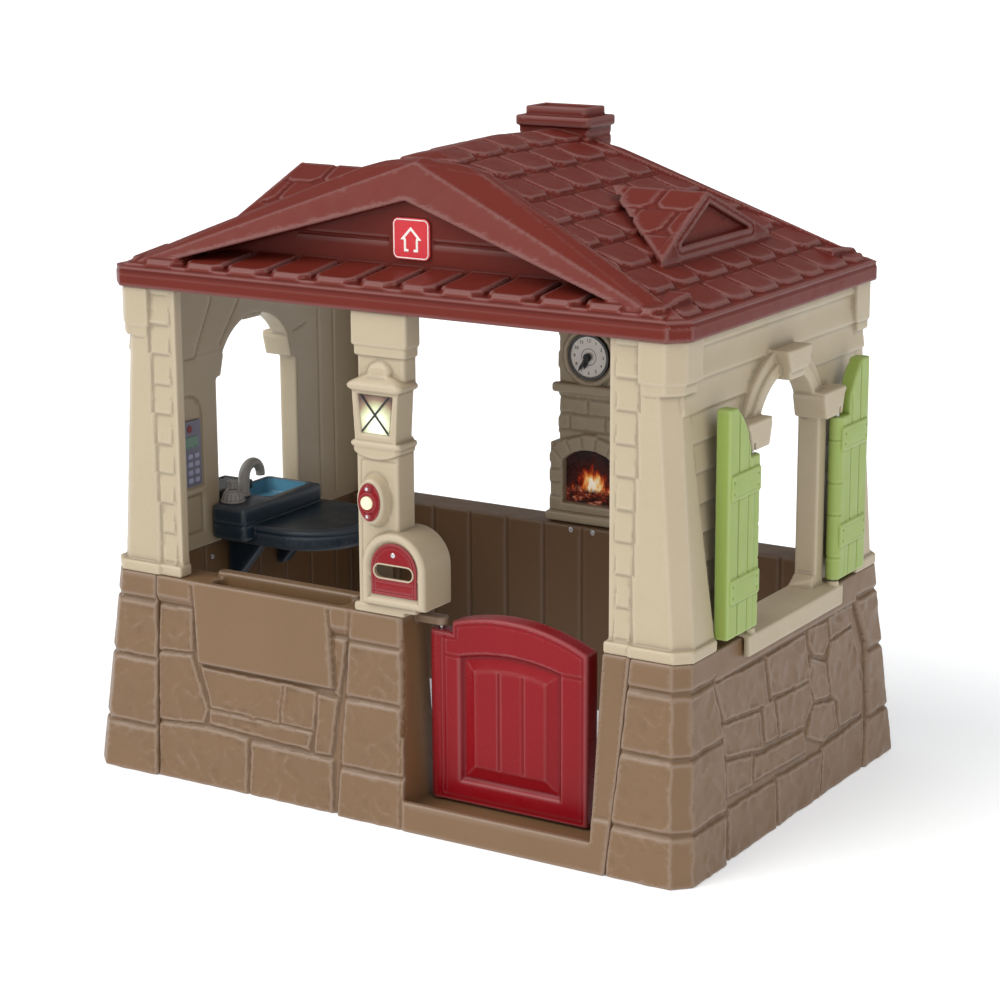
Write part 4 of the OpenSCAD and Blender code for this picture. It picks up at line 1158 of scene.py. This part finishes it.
def lantern_print():
    # Emission_Strength gives the lantern print a painted glow.
    t = Tree("lantern_picture", 0.3, Coat_Weight=0.4, Emission_Strength=0.42)
    x, z = axes(t)
    glow = t.math("ADD", away(t, x, z, -0.001, 0.727), t.math("MULTIPLY", t.noise(40.0, 4.0), 0.012))
    fade = [(0.0, (255, 255, 235)), (0.35, (226, 234, 204)), (0.6, (176, 178, 140)), (0.82, (120, 96, 76)),
            (1.0, (70, 46, 38))]
    col = steps(t, t.ramp(glow, 0.004, 0.058), fade)
    return lit_print(t, col)


def dial_print():
    t = Tree("dial_picture", 0.35, Coat_Weight=0.3)
    x, z = axes(t)
    r = away(t, x, z, 0.0, 0.722)
    paper = t.mix(t.noise(30.0), linear((232, 226, 218)) + [1], linear((243, 238, 230)) + [1])
    ring = t.ramp(t.math("ABSOLUTE", t.math("SUBTRACT", r, 0.0165)), 0.0004, 0.0008, 1.0, 0.0)
    rim = t.ramp(r, 0.0405, 0.0411)
    col = t.mix(t.math("MAXIMUM", ring, rim), paper, linear((34, 32, 33)) + [1])
    t.colour(col)
    t.rough(t.ramp(t.noise(80.0), 0.3, 0.7, 0.28, 0.4))
    t.bump(t.noise(500.0), 0.05, 0.0004)
    return t.mat


STEEL = metal("screw_steel_bright", (205, 205, 208), 0.28), "screw_steel"
SPRING = metal("spring_steel_bright", (180, 182, 188), 0.22)
GREY = (plastic("grey_moulded", (150, 148, 145), 0.34, vary=0.04, grain=0.1, edge_highlight=0.2, sink=0.4),
        "grey_plastic")
# The inside box paints the basin a lighter teal, painted light on the one navy plastic.
NAVY = (plastic("navy_moulded", (27, 48, 64), 0.36, vary=0.06, grain=0.1, edge_highlight=0.16, sink=0.45,
                inside=((-0.608, -0.057, 0.42), (-0.496, 0.093, 0.4575), (86, 142, 168))),
        "navy_plastic")
BLACK = (plastic("black_moulded", (24, 25, 28), 0.42, vary=0.1, grain=0.1, edge_highlight=0.1, sink=0.3),
         "black_plastic")
PHONE = plastic("phone_plate_print", (84, 84, 112), 0.35, vary=0.06, grain=0.05), "phone_print"
KEYS = plastic("phone_key_print", (150, 158, 190), 0.35, vary=0.12, grain=0.05), "phone_print"
SCREEN = plastic("phone_screen_print", (70, 124, 104), 0.3, vary=0.12, grain=0.05), "phone_print"
BADGE = (plastic("badge_red", (205, 30, 44), 0.3, vary=0.04, grain=0.05, edge_highlight=0.15, sink=0.3),
         "badge_plastic")
WHITE = (plastic("badge_white", (240, 238, 234), 0.32, vary=0.02, grain=0.05, edge_highlight=0.0, sink=0.3),
         "badge_plastic")
MODULE = plastic("module_grey", (64, 66, 72), 0.5, vary=0.1, grain=0.2), "module_plastic"
# Painted glow: the button is given a faint emission, though it is no lamp.
BUTTON = (plastic("button_glow", (236, 222, 184), 0.25, vary=0.02, grain=0.03, edge_highlight=0.0, sink=0.2,
                  Emission_Color=(1.0, 0.93, 0.72, 1.0), Emission_Strength=0.12, Subsurface_Weight=0.2),
          "button_plastic")

KEPT = {
    "lantern_panel": (lantern_print(), "lantern_print"), "lantern_bars": BLACK,
    "battery_door": CREAM, "door_pin_top": STEEL,
    "door_pin_bottom": STEEL, "shutter_front_pins": STEEL,
    "shutter_rear_pins": STEEL, "fire_panel": (fire_print(), "fire_print"),
    "clock_dial": (dial_print(), "dial_print"), "clock_pin": BLACK,
    "clock_hour_hand": BLACK, "clock_minute_hand": BLACK,
}
for node, (material, slot) in KEPT.items():
    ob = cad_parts[node]
    if not ob.material_slots:
        ob.data.materials.append(material)
    for entry in ob.material_slots:
        entry.material = material

lantern_post()
mail_plate()
doorbell()
sound_module()
spring()
screws()
door()
shutter("shutter_rear_planked", "shutter_rear", "rear_shutter", 1)
shutter("shutter_front_planked", "shutter_front", "front_shutter", -1)
fireplace()
numerals()
kitchen()
griddle()
tap()
phone()
badge()


# ---------------------------------------------------------------- floor, light, camera

def floor():
    mesh = bpy.data.meshes.new("floor")
    s = 60.0
    mesh.from_pydata([(-s, -s, 0), (s, -s, 0), (s, s, 0), (-s, s, 0)], [], [(0, 1, 2, 3)])
    ob = bpy.data.objects.new("floor", mesh)
    bpy.context.scene.collection.objects.link(ob)
    t = Tree("floor_paper", 0.85)
    t.colour(t.mix(t.ramp(t.noise(1.5, 2.0), 0.3, 0.7), [0.93, 0.935, 0.945, 1], [0.955, 0.96, 0.965, 1]))
    t.shader.inputs["Emission Color"].default_value = (0.86, 0.92, 1.0, 1.0)
    t.shader.inputs["Emission Strength"].default_value = 0.3
    mesh.materials.append(t.mat)


def sun(name, toward, power, angle, rgb):
    lamp = bpy.data.lights.new(name, "SUN")
    lamp.energy, lamp.angle, lamp.color = power, math.radians(angle), rgb
    ob = bpy.data.objects.new(name, lamp)
    bpy.context.scene.collection.objects.link(ob)
    ob.rotation_euler = Vector(toward).to_track_quat("Z", "Y").to_euler()


def camera():
    data = bpy.data.cameras.new("camera")
    data.lens, data.sensor_width = 95.38, 36.0
    data.clip_end = 200
    ob = bpy.data.objects.new("camera", data)
    bpy.context.scene.collection.objects.link(ob)
    place, target = Vector((2.56407, -4.12768, 1.72055)), Vector((0.00604, 0.00032, 0.50563))
    ob.location = place
    ob.rotation_mode = "QUATERNION"
    turn = (place - target).to_track_quat("Z", "Y")
    ob.rotation_quaternion = turn @ Quaternion((0, 0, 1), math.radians(-0.26))
    bpy.context.scene.camera = ob


floor()
sun("key", (-0.62, -0.72, 0.9), 2.0, 50, (1, 0.985, 0.955))
sun("front", (-0.05, -1.0, 0.25), 0.62, 60, (1, 0.985, 0.96))
sun("fill", (1.0, -0.42, 0.55), 0.8, 60, (1, 0.965, 0.915))
sun("top", (0.12, -0.1, 1.0), 0.5, 80, (1, 0.99, 0.98))
world = bpy.data.worlds.new("studio")
world.use_nodes = True
world.node_tree.nodes["Background"].inputs[0].default_value = (1, 0.988, 0.962, 1)
world.node_tree.nodes["Background"].inputs[1].default_value = 0.33
bpy.context.scene.world = world
bpy.context.scene.view_settings.view_transform = "Standard"
camera()
